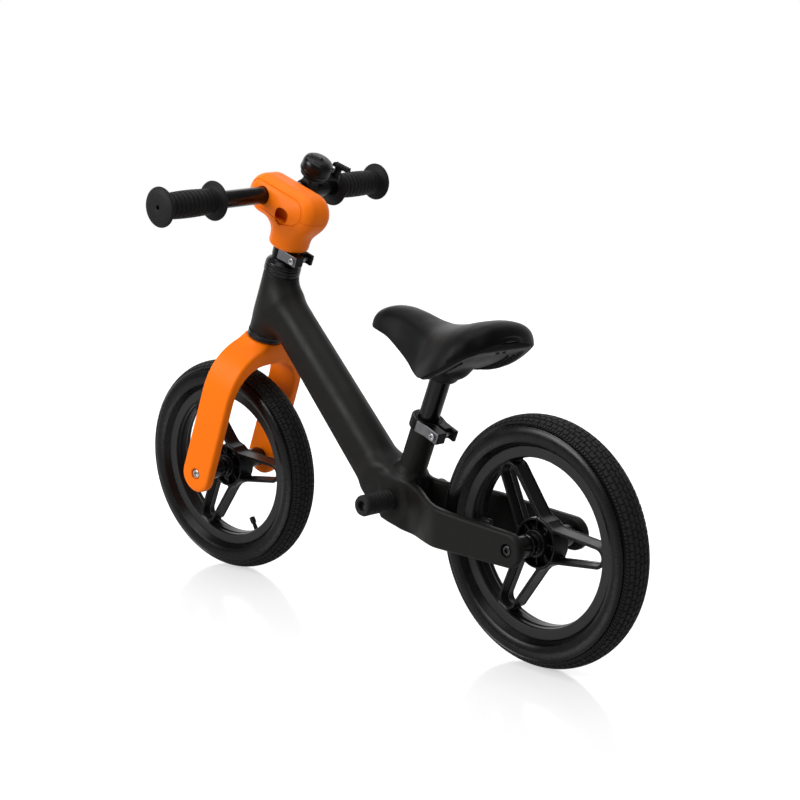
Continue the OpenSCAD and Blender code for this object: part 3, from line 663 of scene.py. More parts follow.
def make_tyre(end, place, body):
    """Tyre with a glossy sidewall, a shoulder ridge and a tread of staggered blocks."""
    mid, rise, half = 124.0, 20.4, 23.2
    slit = (-0.085, -0.045, 0.045, 0.085)
    columns = list(slit) + [0.2, 0.31] + [0.5 + s for s in slit] + [0.7, 0.81]
    per = len(columns)
    base = np.array([p + c for p in range(PITCHES) for c in columns]) / PITCHES * 2 * math.pi
    deep_a = np.tile(np.array([0, 1, 1, 0, 0, 0, 0, 0, 0, 0, 0, 0], float), PITCHES)
    deep_b = np.tile(np.array([0, 0, 0, 0, 0, 0, 0, 1, 1, 0, 0, 0], float), PITCHES)
    zig = np.tile(np.array([1, 1, 1, 1, 0.4, -0.4, -1, -1, -1, -1, -0.4, 0.4], float), PITCHES)
    count = per * PITCHES
    points, tread_rows = [], []
    for turn, groove, on_tread in tyre_section():
        a = math.radians(turn)
        wobble = 1.3 * zig if groove or (on_tread and abs(turn) < 45) else 0 * zig
        a_col = math.radians(1) * wobble + a
        bulge = 0.0
        if abs(turn) in (67, 64.5):
            bulge = 0.8
        if abs(turn) == 63:
            bulge = -0.6
        depth = np.zeros(count) - bulge
        if on_tread or abs(turn) == TREAD_TURN:
            band = int((abs(turn) + 0.01) // 15)
            own = deep_a if band % 2 else deep_b
            cross = own if abs(turn) < TREAD_TURN else np.maximum(deep_a, deep_b) * 0.5
            if band >= 3:
                cross = np.maximum(deep_a, deep_b)
            depth = np.maximum(depth, 1.5 * np.maximum(cross, groove * 0.9))
            depth = depth - 0.5 + 0.1 * math.cos(a)
        r = mid + (rise + 0.1 - depth) * np.cos(a_col)
        y = (half - depth) * np.sin(a_col)
        slant = 0.35 / PITCHES * 2 * math.pi * math.sin(a * 2) if on_tread else 0
        angle = base + slant
        points.append(np.stack([r * np.cos(angle), y, r * np.sin(angle)], 1))
        tread_rows.append(on_tread)
    foot = [(110.3, 12.9), (110.25, 10.4), (101.7, 10.4)]
    inside = [(102.2, 7.2), (111.3, 7.2)]
    inside += [(mid + (rise - 3.4) * math.cos(math.radians(t)), (half - 3.2) * math.sin(math.radians(t)))
               for t in range(110, -111, -10)]
    closing = foot + inside
    closing += [(r, -y) for r, y in reversed(inside[:2])] + [(r, -y) for r, y in reversed(foot)]
    for r, y in closing:
        points.append(np.stack([r * np.cos(base), np.full(count, y), r * np.sin(base)], 1))
        tread_rows.append(False)
    rows = len(points)
    co = np.concatenate(points)
    j = np.arange(count)
    nxt = (j + 1) % count
    faces, kinds = [], []
    for k in range(rows):
        m = (k + 1) % rows
        faces.append(np.stack([k * count + j, k * count + nxt, m * count + nxt, m * count + j], 1))
        kinds += [tread_rows[k] and tread_rows[m]] * count
    faces = np.concatenate(faces)
    obj = new_object(end + "_tyre_tread", co, faces, place, RUBBER_WALL, 28)
    obj.data.materials.append(RUBBER_TREAD)
    obj.data.polygons.foreach_set("material_index", np.array(kinds, np.int32))
    recalculate(obj)
    return add(obj, body, "tyre_rubber", end + "_tyre")


make_wheel("rear", REAR_WHEEL, "rear_wheel", 5)
make_wheel("front", FRONT_WHEEL, "front_wheel", 245)


# ---------- frame ----------

def on_plane(place, along):
    """Millimetre point (x, z) of the row at a height along a tilted place's own Z."""
    spot = place @ Vector((0, 0, along)) * 1000
    return spot.x, spot.z


HEAD_LOW = span("headset_lower_cup", HEAD, 2)[0] + 9
HEAD_HIGH = span("headset_upper_cup", HEAD, 2)[1] - 9
SEAT_TOP = span("seat_clamp_collar", SEAT, 2)[1]
FOOT = on_plane(SEAT, 0)
AXLE = (REAR_AXLE.x * 1000, REAR_AXLE.z * 1000)
HEAD_ORIGIN = on_plane(HEAD, 0)
STEER_2D = (STEER.x, STEER.z)
SEAT_2D = (SEAT_UP.x, SEAT_UP.z)
ARM_OUTER = span("frame_casting", ROW, 1)[1]
ARM_WALL = 11.0
HUB_HALF = 23.0


def frame_field(x, y, z):
    """Cast frame: head tube, oval down tube, seat tube, hub and two banded arms."""
    side = np.abs(y)
    across, along = tilted(x, z, HEAD_ORIGIN, STEER_2D)
    head_radial = np.hypot(across, y)
    head = rod(head_radial, along, 23, HEAD_LOW + 0.3, HEAD_HIGH - 0.3, 0.8)

    top_x, top_z = on_plane(HEAD, (HEAD_LOW + HEAD_HIGH) / 2)
    start = (top_x - 15, top_z)
    end = (FOOT[0] + 38, FOOT[1] + 25)
    length = math.hypot(start[0] - end[0], start[1] - end[1])
    tube_axis = ((start[0] - end[0]) / length, (start[1] - end[1]) / length)
    offset, reach = tilted(x, z, end, tube_axis)
    share = np.clip(reach / length, 0, 1)
    wide = 24 - 1.5 * share
    tall = 33 - 4 * share
    tube = np.hypot(np.maximum(np.abs(offset) - (tall - wide), 0), y) - wide
    tube = edge_round(tube, np.maximum(-reach - 12, reach - length), 12)

    seat_across, seat_along = tilted(x, z, FOOT, SEAT_2D)
    seat_radial = np.hypot(seat_across, y)
    seat = rod(seat_radial, seat_along, 17, -5, SEAT_TOP, 0.8)
    collar = rod(seat_radial, seat_along, 20.5, 0, 43, 4)

    peg_hub = np.hypot(x - FOOT[0], z - FOOT[1]) - 27
    front_hub = np.hypot(x - FOOT[0] - 20, z - FOOT[1] - 13) - 32
    hub = edge_round(join(peg_hub, front_hub, 20), side - HUB_HALF, 9)

    bend_start, bend_end = FOOT[0] - 24, FOOT[0] - 120
    bend = (bend_start - x) / (bend_start - bend_end)
    near, far = HUB_HALF - ARM_WALL / 2, ARM_OUTER - ARM_WALL / 2
    line = near + (far - near) * wave(bend)
    inside_bend = (bend > 0) & (bend < 1)
    slope = np.where(inside_bend, (far - near) * math.pi / 2 * np.sin(math.pi * np.clip(bend, 0, 1)), 0)
    slope = slope / (bend_start - bend_end)
    plan = (np.abs(side - line) - ARM_WALL / 2) / np.hypot(1, slope)
    knots = [AXLE[0], -200, -150, -110, -75, -40]
    lower = curve(x, knots, [125, 125.4, 125, 121.5, 123, 134])
    upper = curve(x, knots, [165, 170.5, 175.5, 180.5, 186, 186])
    band = np.maximum(lower - z, z - upper)
    dropout = np.hypot(x - AXLE[0], z - AXLE[1]) - 20
    profile = np.where(x < AXLE[0], dropout, band)
    profile = np.maximum(profile, x + 42)
    arms = edge_round(plan, profile, 3.6)

    body = join(join(head, tube, 30), join(join(hub, collar, 7), seat, 5), 16)
    body = join(body, arms, 9)
    body = cut(body, rod(head_radial, along, 40, HEAD_LOW - 40, HEAD_LOW, 0.2), 0.5)
    body = cut(body, rod(head_radial, along, 40, HEAD_HIGH, HEAD_HIGH + 40, 0.2), 0.5)
    body = cut(body, head_radial - 17.3, 0.6)
    body = cut(body, np.maximum(seat_radial - SEAT_BORE, 13 - seat_along), 0.6)
    slot = np.maximum(np.maximum(side - 1.5, seat_across), SEAT_TOP - 28 - seat_along)
    body = cut(body, slot, 0.4)
    body = cut(body, np.hypot(x - FOOT[0], z - FOOT[1]) - 5.2, 0.5)
    axle_radial = np.hypot(x - AXLE[0], z - AXLE[1])
    wheel_room = edge_round(axle_radial - 151, side - 29.5, 3)
    body = cut(body, wheel_room, 2)
    return bore_axle(body, axle_radial, side, ARM_OUTER)


low, high = (np.array(corner) * 1000 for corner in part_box("frame_casting"))
frame_piece = cast("frame_cast_body", frame_field, low - 2, high + 2, 1.7, ROW, PAINT_FRAME, sharp=48)
add(frame_piece, "frame", "frame_paint", "frame_casting")


# ---------- fork ----------

CROWN_TOP = span("crown_race", FORK, 2)[0]
LEG_OUTER = span("fork_casting", FORK, 1)[1]
FORK_WALL = 15.0
ARCH_MID = 115.0
ARCH_POWER = 2.3
CROWN_SHARE = 0.88
LEG_HALF = 26.0


def fork_field(x, y, z):
    """Cast fork: a band bent into an arch, thicker at the crown, with round ends at the axle."""
    side = np.abs(y)
    over = np.maximum(z - ARCH_MID, 0)
    outer = (side ** ARCH_POWER + (over * CROWN_SHARE) ** ARCH_POWER) ** (1 / ARCH_POWER) - LEG_OUTER
    inner = (side ** ARCH_POWER + over ** ARCH_POWER) ** (1 / ARCH_POWER) - LEG_OUTER + FORK_WALL
    half = LEG_HALF - 1.5 * wave((z - 150) / 40)
    flank = np.where(z < 0, np.hypot(x, z) - LEG_HALF, np.abs(x) - half)
    band = edge_round(edge_round(outer, -inner, 5), flank, 5.5)
    boss_radial = np.hypot(x, y)
    boss = rod(boss_radial, z, 23.5, 160, CROWN_TOP - 0.1, 1.2)
    body = edge_round(join(band, boss, 15), np.abs(x) - LEG_HALF - 0.5, 5)
    body = cut(body, CROWN_TOP - z, 1)
    body = edge_round(body, -inner, 3.5)
    body = cut(body, rod(boss_radial, z, 14.6, CROWN_TOP - 22, CROWN_TOP + 20, 0.2), 0.6)
    return bore_axle(body, np.hypot(x, z), side, LEG_OUTER)


fork_piece = cast("fork_cast_body", fork_field, (-28, -LEG_OUTER - 1, -28),
                  (28, LEG_OUTER + 1, CROWN_TOP + 1), 1.4, FORK, PAINT_FORK, sharp=48)
add(fork_piece, "fork", "fork_paint", "fork_casting")


# ---------- headset, clamps and bolts ----------

def dress(material, *nodes):
    """Gives carried-over CAD nodes their finish."""
    for name in nodes:
        mesh = frame["nodes"][name].data
        mesh.materials.clear()
        mesh.materials.append(material)


def make_cups():
    """Headset cups with a fine groove, a dust cover in two steps and the rings between them."""
    for name, at, facing in (("lower", HEAD_LOW, -1), ("upper", HEAD_HIGH, 1)):
        rows = [(15.1, -9.8), (17, -9.8, 0.6), (17, 0), (23.1, 0, 0.3), (23.8, 0.7, 0.4), (23.8, 4.6, 0.4),
                (23.1, 5.0, 0.2), (23.1, 5.5, 0.2), (23.8, 5.9, 0.4), (23.8, 8.2, 0.6), (22.8, 9, 0.4),
                (21, 9, 0.4), (21, 1.5, 0.3), (15.1, 1.5)]
        outline = [(row[0], at + facing * row[1]) + tuple(row[2:]) for row in rows]
        piece = turned("headset_%s_ring" % name, outline, HEAD, CUP_BLACK, 0.3)
        add(piece, "frame", "black_steel", "headset_%s_cup" % name)
    low, top = span("headset_top_cover", FORK, 2)
    outline = [(14.35, low), (22.8, low, 0.3), (23.6, low + 0.7, 0.5), (23.6, low + 2.4, 0.6),
               (22.4, low + 2.9, 0.2), (22.4, low + 3.4, 0.2), (22.9, low + 3.9, 0.4), (22.4, low + 5, 1),
               (18.2, top - 1.6, 1.5), (17.3, top, 0.5), (14.35, top, 0.3)]
    add(turned("headset_dust_cover", outline, FORK, CUP_BLACK), "fork", "black_steel", "headset_top_cover")


def collar_field(inner, outer, ear_end, ear_half, bolt_at, low, high):
    """Split clamp: a ring with two flat ears behind it, the right one cut away to a tongue."""
    def field(x, y, z):
        radial = np.hypot(x, y)
        ears = edge_round(np.abs(x + ear_end / 2) - ear_end / 2, np.abs(y) - ear_half, 1.2)
        body = edge_round(join(radial - outer, ears, 4), np.abs(z - (low + high) / 2) - (high - low) / 2, 0.7)
        body = cut(body, radial - inner, 0.6)
        body = cut(body, np.maximum(np.abs(y) - 2.5, x), 0.5)
        tongue = np.maximum(x + ear_end - 9, np.abs(y + (ear_half - 5) / 2) - (ear_half - 5) / 2)
        body = cut(body, tongue, 0.8)
        return cut(body, np.hypot(x + bolt_at, z - (low + high) / 2) - 2.7, 0.4)
    return field


def hexagon(x, y, r):
    turned_side = np.abs(x) * math.cos(math.pi / 6) + np.abs(y) * 0.5
    return np.maximum(turned_side, np.abs(y)) - r * math.cos(math.pi / 6)


def make_clamp(name, place, body, outer, wall, ear_end, ear_half, bolt_at):
    """Split clamp whose ears' left faces get a lighter grey metal as a painted reflection of the key light,
    and the screw and nut through them.
    """
    low, high = span(name + "_collar", place, 2)
    field = collar_field(outer - wall, outer, ear_end, ear_half, bolt_at, low, high)
    piece = cast(name + "_band", field, (-ear_end - 1, -outer - 1, low - 1),
                 (outer + 1, outer + 1, high + 1), 0.8, place, ALLOY_DARK)
    # The ears' left faces get the lighter grey second material, a painted reflection.
    piece.data.materials.append(CLAMP_PAINTED_REFLECTION)
    flat = place.inverted()
    for polygon in piece.data.polygons:
        spot = flat @ polygon.center
        if spot.y > ear_half - 0.35 and spot.x < -2:
            polygon.material_index = 1
    add(piece, body, "clamp_alloy", name + "_collar")

    def bolt(x, y, z):
        radial = np.hypot(x, y)
        head = rod(radial, z, 4.4, ear_half + 0.05, ear_half + 3, 0.9)
        head = cut(head, np.maximum(hexagon(x, y, 2.4), ear_half + 1 - z), 0.2)
        nut = edge_round(hexagon(x, y, 4.6), np.abs(z + ear_half + 1.85) - 1.75, 0.4)
        nut = edge_round(nut, radial - 4.5, 0.5)
        shank = rod(radial, z, 2.5, -ear_half - 2.5, ear_half + 1, 0.3)
        return np.minimum(np.minimum(head, nut), shank)

    across = about_y(place @ Matrix.Translation((-bolt_at, 0, (low + high) / 2)))
    piece = cast(name + "_screw", bolt, (-5, -5, -ear_half - 4), (5, 5, ear_half + 4),
                 0.5, across, BOLT_STEEL)
    add(piece, body, "bright_steel", name + "_bolt")


def make_axle_parts(end, place, body, bolt_material):
    """Flanged socket bolts and the stepped spacers on both sides of a hub."""
    top = span(end + "_axle_bolts", place, 1)[1]
    floor = top - 3.6

    def bolt(x, y, z):
        side = np.abs(z)
        radial = np.hypot(x, y)
        head = rod(radial, side, 6, floor + 0.05, top, 1.5)
        head = join(head, rod(radial, side, 6.8, floor + 0.05, floor + 1.1, 0.4), 0.6)
        head = cut(head, np.maximum(hexagon(x, y, 3.1), floor + 1.2 - side), 0.3)
        return np.minimum(head, rod(radial, side, 2.45, floor - 11, floor + 1, 0.3))

    pair = []
    for name, turn in SIDES:
        facing = about_y(place) @ Matrix.Rotation(turn, 4, "X")
        pair.append(cast("%s_axle_screw_%s" % (end, name), bolt, (-7.2, -7.2, floor - 12),
                         (7.2, 7.2, top + 0.5), 0.5, facing, bolt_material))
    add_pair(pair, body, "bright_steel", end + "_axle_bolts")
    first, last = 15.3, span(end + "_axle_spacers", place, 1)[1]
    outline = [(AXLE_BORE, first), (7, first, 0.4), (7, first + 4.6, 0.8), (8.6, first + 5, 0.5),
               (12.2, first + 5.2, 0.8), (13, first + 6.4, 0.6), (13, first + 12, 0.5),
               (12, first + 12.5, 0.3), (12, first + 13.6, 0.3), (13, first + 14.1, 0.5),
               (13, last - 4.4, 0.6), (11.4, last - 3.8, 0.4), (11.4, last - 0.6, 0.4),
               (10.8, last, 0.4), (AXLE_BORE, last)]
    piece = turned(end + "_hub_spacers", outline, about_y(place), GLOSS_BLACK, mirror=True)
    add(piece, body, "black_plastic", end + "_axle_spacers")


def make_pegs():
    """Ribbed rubber foot pegs with a plain, hollow end."""
    first, last = span("foot_peg_left", ROW, 1)
    outline = [(5.05, first), (11.6, first, 0.3), (11.6, first + 0.8)]
    for k in range(6):
        at = first + 1.0 + k * 5.5
        outline += [(12.9, at + 0.3, 0.5), (12.9, at + 2.9, 0.5),
                    (11.4, at + 3.4, 0.5), (11.4, at + 5.2, 0.5)]
    outline += [(12.9, last - 12, 0.8), (13, last - 3.2, 1.6), (11.4, last - 0.2, 1.0), (7.2, last, 1.0),
                (6.1, last - 1.2, 0.5), (6.1, last - 6, 0.3), (5.05, last - 6.4)]
    for name, turn in SIDES:
        place = about_y(PEG_AXES) @ Matrix.Rotation(turn, 4, "X")
        piece = turned("peg_grip_" + name, outline, place, RUBBER_PEG)
        add(piece, "frame", "soft_rubber", "foot_peg_" + name)


make_cups()
make_clamp("seat_clamp", SEAT, "frame", outer=20.6, wall=3.58, ear_end=37, ear_half=17, bolt_at=29)
make_clamp("stem_clamp", FORK, "fork", outer=18.2, wall=3.88, ear_end=33, ear_half=16.5, bolt_at=26)
make_axle_parts("rear", ROW @ Matrix.Translation((AXLE[0], 0, AXLE[1])), "frame", BOLT_DARK)
make_axle_parts("front", FORK, "fork", BOLT_STEEL)
make_pegs()


# ---------- stem ----------

BAR_X = middle("handlebar", FORK, 0)
BAR_Z = middle("handlebar", FORK, 2)
STEM_LOW, STEM_HIGH = BAR_Z - 28, BAR_Z + 25
STEM_REAR, STEM_FRONT = span("stem_upper_shell", FORK, 0)
STEM_HALF = span("stem_upper_shell", FORK, 1)[1]
NECK_LOW = span("stem_lower_shell", FORK, 2)[0]
SEAM_Z = BAR_Z - 5.5
PANEL_R = 17.0
PANEL_ENDS = (-11.0, 52.0)
INLAY_SPAN = (13.5, 27.0)


def stem_body(x, y, z):
    """Outside of the stem cover: a fat pill lying along the bike, on a round neck."""
    r = (STEM_HIGH - STEM_LOW) / 2
    mid_x, reach = (STEM_FRONT + STEM_REAR) / 2, (STEM_FRONT - STEM_REAR) / 2 - r
    profile = np.hypot(np.maximum(np.abs(x - mid_x) - reach, 0), z - (STEM_LOW + STEM_HIGH) / 2) - r
    pill = edge_round(profile, np.abs(y) - STEM_HALF, 17)
    neck_r = curve(z, [NECK_LOW, NECK_LOW + 12, NECK_LOW + 22, NECK_LOW + 34], [26.3, 26.0, 25.0, 24.6])
    neck = edge_round(np.hypot(x, y) - neck_r, np.maximum(NECK_LOW - z, z - BAR_Z), 5.5)
    return join(pill, neck, 21)


def panel_profile(x, z):
    mid_x, reach = sum(PANEL_ENDS) / 2, (PANEL_ENDS[1] - PANEL_ENDS[0]) / 2
    return np.hypot(np.maximum(np.abs(x - mid_x) - reach, 0), z - BAR_Z) - PANEL_R


def bar_hole(x, z, r):
    return np.hypot(x - BAR_X, z - BAR_Z) - r


def stem_shell(upper):
    def field(x, y, z):
        panel = panel_profile(x, z)
        groove = np.clip(1 - np.abs(panel - 2.4) / 1.0, 0, 1)
        outside = stem_body(x, y, z) + 0.5 * groove * (np.abs(y) > 10)
        body = cut(outside, stem_body(x, y, z) + 2.8)
        body = cut(body, np.maximum(np.hypot(x, y) - 21.5, z - STEM_LOW - 12))
        body = cut(body, np.maximum(panel, 14.4 - np.abs(y)), 0.6)
        split = SEAM_Z + 0.12 - z if upper else z - SEAM_Z + 0.12
        return cut(edge_round(body, split, 0.5), bar_hole(x, z, 12.2), 0.8)
    return field


def panel_field(x, y, z):
    panel = panel_profile(x, z) + 0.3
    crown = stem_body(x, y, z) + 0.35
    body = edge_round(edge_round(panel, crown, 1.1), 14.6 - y, 0.5)
    return cut(body, bar_hole(x, z, 11.5), 0.8)


def make_stem():
    low = (STEM_REAR - 1, -STEM_HALF - 3, NECK_LOW - 1)
    high = (STEM_FRONT + 1, STEM_HALF + 3, STEM_HIGH + 1)
    for name, upper in (("stem_lower_shell", False), ("stem_upper_shell", True)):
        corner = (low[0], low[1], SEAM_Z - 1) if upper else low
        end = high if upper else (high[0], high[1], SEAM_Z + 1)
        piece = cast(name.replace("shell", "cover"), stem_shell(upper), corner, end, 0.9,
                     FORK, PLASTIC_STEM, sharp=42)
        add(piece, "handlebar", "cover_plastic", name)
    pair = []
    for name, flip in (("left", 1), ("right", -1)):
        def field(x, y, z, flip=flip):
            return panel_field(x, y * flip, z)
        right, left = sorted(depth * flip for depth in INLAY_SPAN)
        pair.append(cast("stem_inlay_" + name, field, (-30, right, BAR_Z - 18), (71, left, BAR_Z + 18),
                         0.8, FORK, PLASTIC_STEM, sharp=42))
    add_pair(pair, "handlebar", "cover_plastic", "stem_side_panels")


make_stem()


# ---------- grips ----------

BAR = about_y(FORK @ Matrix.Translation((BAR_X, 0, BAR_Z)))


def make_grips():
    """Rubber grips: a dished thumb flange, fine crowned rings and a domed end with a hole."""
    first, last = span("grip_left", FORK, 1)
    outline = [(BAR_BORE, first + 0.9, 0.3), (16.5, first + 1.7, 2), (22, first + 0.3, 2),
               (24.6, first + 1.1, 1), (25, first + 2.8, 1), (23.8, first + 4.3, 1), (19, first + 5, 2),
               (16, first + 5.8, 1.4), (14.8, first + 7.6, 0.8)]
    rings = 11
    pitch = (last - 9.5 - first - 8) / rings
    for k in range(rings):
        at = first + 8 + k * pitch
        r = 15.6 + 1.5 * math.sin(math.pi * (k + 0.5) / rings)
        outline += [(r, at + 0.5, 0.6), (r, at + pitch - 1.6, 0.6), (r - 1.1, at + pitch - 1.1, 0.4),
                    (r - 1.1, at + pitch - 0.2, 0.4)]
    outline += [(15.4, last - 9.2, 0.8), (17.4, last - 8, 1.5), (22.6, last - 6.6, 2),
                (24.7, last - 4.9, 1.2), (24.7, last - 3.4, 1.2), (23, last - 1.7, 2), (17, last - 0.5, 3),
                (9, last, 3), (3, last, 0.5), (2.5, last - 0.6, 0.3), (2.5, last - 4, 0.2),
                (BAR_BORE, last - 4, 0.2)]
    for name, turn in SIDES:
        place = BAR @ Matrix.Rotation(turn, 4, "X")
        piece = turned("hand_grip_" + name, outline, place, RUBBER_GRIP, 0.3)
        add(piece, "handlebar", "soft_rubber", "grip_" + name)


make_grips()


# ---------- bell ----------

BELL_SIDE = middle("bell_clamp", FORK, 1)
BELL = axes(FORK @ Vector((BAR_X, BELL_SIDE, BAR_Z)), WHEEL_SIDE.cross(BELL_UP), WHEEL_SIDE, BELL_UP)
PIVOT = BELL.inverted() @ LEVER_AT
PLATE = (23.0, 27.0)


def bell_clamp_field(x, y, z):
    across = np.hypot(x, z)
    band = rod(across, y, 14.1, -8, 8, 1.0)
    post = block(x, y, z, (-8, -8, 2), (8, 8, PLATE[0] - 0.05), 1.5)
    lug = block(x, y, z, (-4.5, -8, -21), (4.5, 8, -11), 1.2)
    body = join(join(band, post, 4), lug, 3)
    body = cut(body, across - BAR_BORE, 0.4)
    body = cut(body, np.maximum(np.abs(x) - 0.9, z + 10), 0.3)
    screw = np.hypot(y, z + 17) - 2.2
    return cut(body, screw, 0.3)


def bell_base_field(x, y, z):
    """Round plate with an arm out to the lever's pivot, and the two posts on it."""
    arm_x, arm_y = PIVOT.x, PIVOT.y
    along = np.clip(((x * arm_x) + (y * arm_y)) / (arm_x ** 2 + arm_y ** 2), 0, 1)
    arm = np.hypot(x - along * arm_x, y - along * arm_y) - (8.5 - 1.5 * along)
    plan = join(np.hypot(x, y) - 17.5, arm, 6)
    plate = edge_round(plan, np.abs(z - sum(PLATE) / 2) - (PLATE[1] - PLATE[0]) / 2, 1.0)
    mast = rod(np.hypot(x, y), z, 3, PLATE[0], 44, 0.5)
    pin = rod(np.hypot(x - arm_x, y - arm_y), z, 1.95, PLATE[0], 33, 0.4)
    return join(plate, np.minimum(mast, pin), 1.0)


def bell_lever_field(x, y, z):
    """Thumb lever: a stalk on the pivot, a striker arm and a sloping pad with seven teeth."""
    px, py, pz = x - PIVOT.x, y - PIVOT.y, z - PLATE[1] - 0.4
    radial = np.hypot(px, py)
    stalk = rod(radial, pz, 5, 0, 15, 0.8)
    c, s = math.cos(math.radians(60)), math.sin(math.radians(60))
    sx, sy = (px - 2) * c + (py - 1) * s, (py - 1) * c - (px - 2) * s
    striker = block(sx, sy, pz, (0, -2, 0), (10, 2, 2.4), 0.7)
    tilt = math.radians(14)
    u = px * math.cos(tilt) - (pz - 15) * math.sin(tilt)
    w = px * math.sin(tilt) + (pz - 15) * math.cos(tilt)
    first, length, teeth = -16.1, 26.0, 7
    pad = block(u, py, w, (first, -4.5, -3), (first + length, 4.5, 1.2), 1.2)
    phase = (u - first) / length * teeth
    tooth = np.abs(phase - np.floor(phase) - 0.35) * length / teeth - 0.95
    ridge = edge_round(edge_round(tooth, np.abs(py) - 4.2, 0.5), np.abs(w - 0.7) - 2, 0.6)
    ridge = np.maximum(ridge, np.abs(u - first - length / 2) - length / 2 + 0.4)
    body = join(join(join(stalk, pad, 2), ridge, 0.8), striker, 1)
    return cut(body, np.maximum(radial - 2.1, pz - 6), 0.2)


def make_bell():
    piece = cast("bell_clamp_band", bell_clamp_field, (-15, -9, -22), (15, 9, 24), 0.7, BELL, PLASTIC_BLACK)
    add(piece, "handlebar", "black_plastic", "bell_clamp")
    piece = cast("bell_base_plate", bell_base_field, (-20, -42, 22), (20, 19, 45), 0.7, BELL, PLASTIC_BLACK)
    add(piece, "handlebar", "black_plastic", "bell_base")
    low, top = 28.5, 50.5
    outline = [(18.6, low), (19.8, low, 0.3), (20.5, low + 1.6, 1), (20.5, low + 4.4, 0.3),
               (20.1, low + 4.8, 0.2), (20.1, low + 5.4, 0.2), (20.5, low + 5.8, 0.3), (20.3, top - 8.4, 2.5),
               (18.6, top - 4.4, 2.5), (15.6, top - 2.5, 1), (14.9, top - 2.5, 0.2), (14.6, top - 1.7, 0.5),
               (9, top - 0.9, 2), (5, top - 0.6, 0.4), (4.6, top, 0.4), (2.1, top, 0.2), (2.1, top - 2.6),
               (13.5, top - 3.6, 2), (16.6, top - 5, 2), (18.6, top - 8.6, 2)]
    add(turned("bell_dome_cap", outline, BELL, BELL_BLACK, 0.3), "handlebar", "bell_metal", "bell_dome")
    outline = [(0, top - 6), (1.9, top - 6), (1.9, top), (3.5, top, 0.2), (3.4, top + 0.7, 0.4),
               (2.2, top + 1.3, 0.5), (0, top + 1.4)]
    piece = turned("bell_cap_screw", outline, BELL, BOLT_DARK, 0.2, 40)
    add(piece, "handlebar", "bright_steel", "bell_dome_screw")
    piece = cast("bell_thumb_lever", bell_lever_field, (PIVOT.x - 18, PIVOT.y - 6, 26),
                 (PIVOT.x + 12, PIVOT.y + 13, 51), 0.55, BELL, PLASTIC_BLACK, sharp=40)
    add(piece, "bell_lever", "black_plastic", "bell_lever")


make_bell()


# ---------- saddle ----------

# Stations from tail to nose: x, half width, top, lower edge, how far the flank is drawn in
STATIONS = np.array([
    (-231.0, 22, 372, 364, 0.00), (-228.0, 38, 379, 361, 0.00), (-221.0, 52, 384.5, 357, 0.00),
    (-208.0, 63, 387, 350, 0.01), (-190.0, 69, 385, 339, 0.03), (-170.0, 70, 380.5, 329, 0.07),
    (-150.0, 64, 377.5, 322.5, 0.12), (-130.0, 53, 376.5, 324, 0.17), (-110.0, 44, 379.5, 334, 0.18),
    (-85.0, 36, 387, 346, 0.13), (-60.0, 32, 391.5, 359, 0.06), (-42.0, 29.5, 390.5, 364, 0.02),
    (-30.0, 25, 386, 366, 0.00), (-22.0, 17, 379.5, 367, 0.00), (-18.0, 9, 373.5, 367, 0.00),
])


def station(x, column):
    return curve(x, STATIONS[:, 0], STATIONS[:, column])


def ring_of(x):
    """One ring of the cover from the right lower edge over the top to the left one, then back underneath."""
    half, top, low, drawn = (float(station(x, c)) for c in (1, 2, 3, 4))
    rise = top - low
    points = []
    over = 36
    for k in range(over + 1):
        a = math.pi * k / over
        c, s = math.cos(a), math.sin(a)
        flat = math.copysign(abs(c) ** 0.86, c)
        level = s ** 0.8 if s > 0 else 0.0
        pull = drawn * math.sin(math.pi * min(level, 1.0)) ** 1.5
        lip = 0.9 * math.exp(-((level * rise - 1.6) / 1.5) ** 2)
        across = flat * (half - 0.6) * (1 - pull) + math.copysign(lip, c)
        points.append((x, across, low + rise * level))
    inner = half - 5.5
    wall = min(1.0, max(0.0, (inner - 14) / 14)) * 5.5
    under = [(half - 1.5, -0.9), (half - 3.2, -0.9), (half - 4.8, 0.2)]
    under += [(inner, wall * 0.8), (inner - 1, wall)]
    under += [(inner * u, wall) for u in (0.75, 0.4, 0)]
    under = [(-u, v) for u, v in under] + [(u, v) for u, v in reversed(under[:-1])]
    points += [(x, u, low + v) for u, v in under]
    return points


def make_saddle_cover():
    """Padded cover, lofted through the stations and closed at the tail and the nose."""
    xs = []
    for a, b in zip(STATIONS[:-1, 0], STATIONS[1:, 0]):
        steps = max(2, int((b - a) / 2.6))
        xs += [a + (b - a) * k / steps for k in range(steps)]
    xs.append(STATIONS[-1, 0])
    rings = [ring_of(x) for x in xs]
    per = len(rings[0])
    points = [p for ring in rings for p in ring]
    faces = []
    for k in range(len(rings) - 1):
        for i in range(per):
            j = (i + 1) % per
            faces.append((k * per + i, k * per + j, (k + 1) * per + j, (k + 1) * per + i))
    for ring_at, x, bulge in ((0, xs[0], -2.6), (len(rings) - 1, xs[-1], 1.6)):
        ring = np.array(rings[ring_at])
        core = ring.mean(0)
        loops = [[ring_at * per + i for i in range(per)]]
        for share, out in ((0.72, 0.62), (0.38, 0.92)):
            loops.append([len(points) + i for i in range(per)])
            shrink, push = np.array([0, share, share]), np.array([bulge * out, 0, 0])
            points += [tuple(core + (p - core) * shrink + push) for p in ring]
        tip = len(points)
        points.append(tuple(core + np.array([bulge, 0, 0])))
        for a, b in zip(loops[:-1], loops[1:]):
            faces += [(a[i], a[(i + 1) % per], b[(i + 1) % per], b[i]) for i in range(per)]
        last = loops[-1]
        faces += [(last[i], last[(i + 1) % per], tip) for i in range(per)]
    obj = new_object("saddle_skin", points, faces, ROW, VINYL, 60)
    recalculate(obj)
    return obj


SOCKET_LOW = span("saddle_base", SEAT, 2)[0]
POD_X, POD_Z = on_plane(SEAT, SOCKET_LOW + 20)
SADDLE_PIN = middle("saddle_bolts", SEAT, 2)


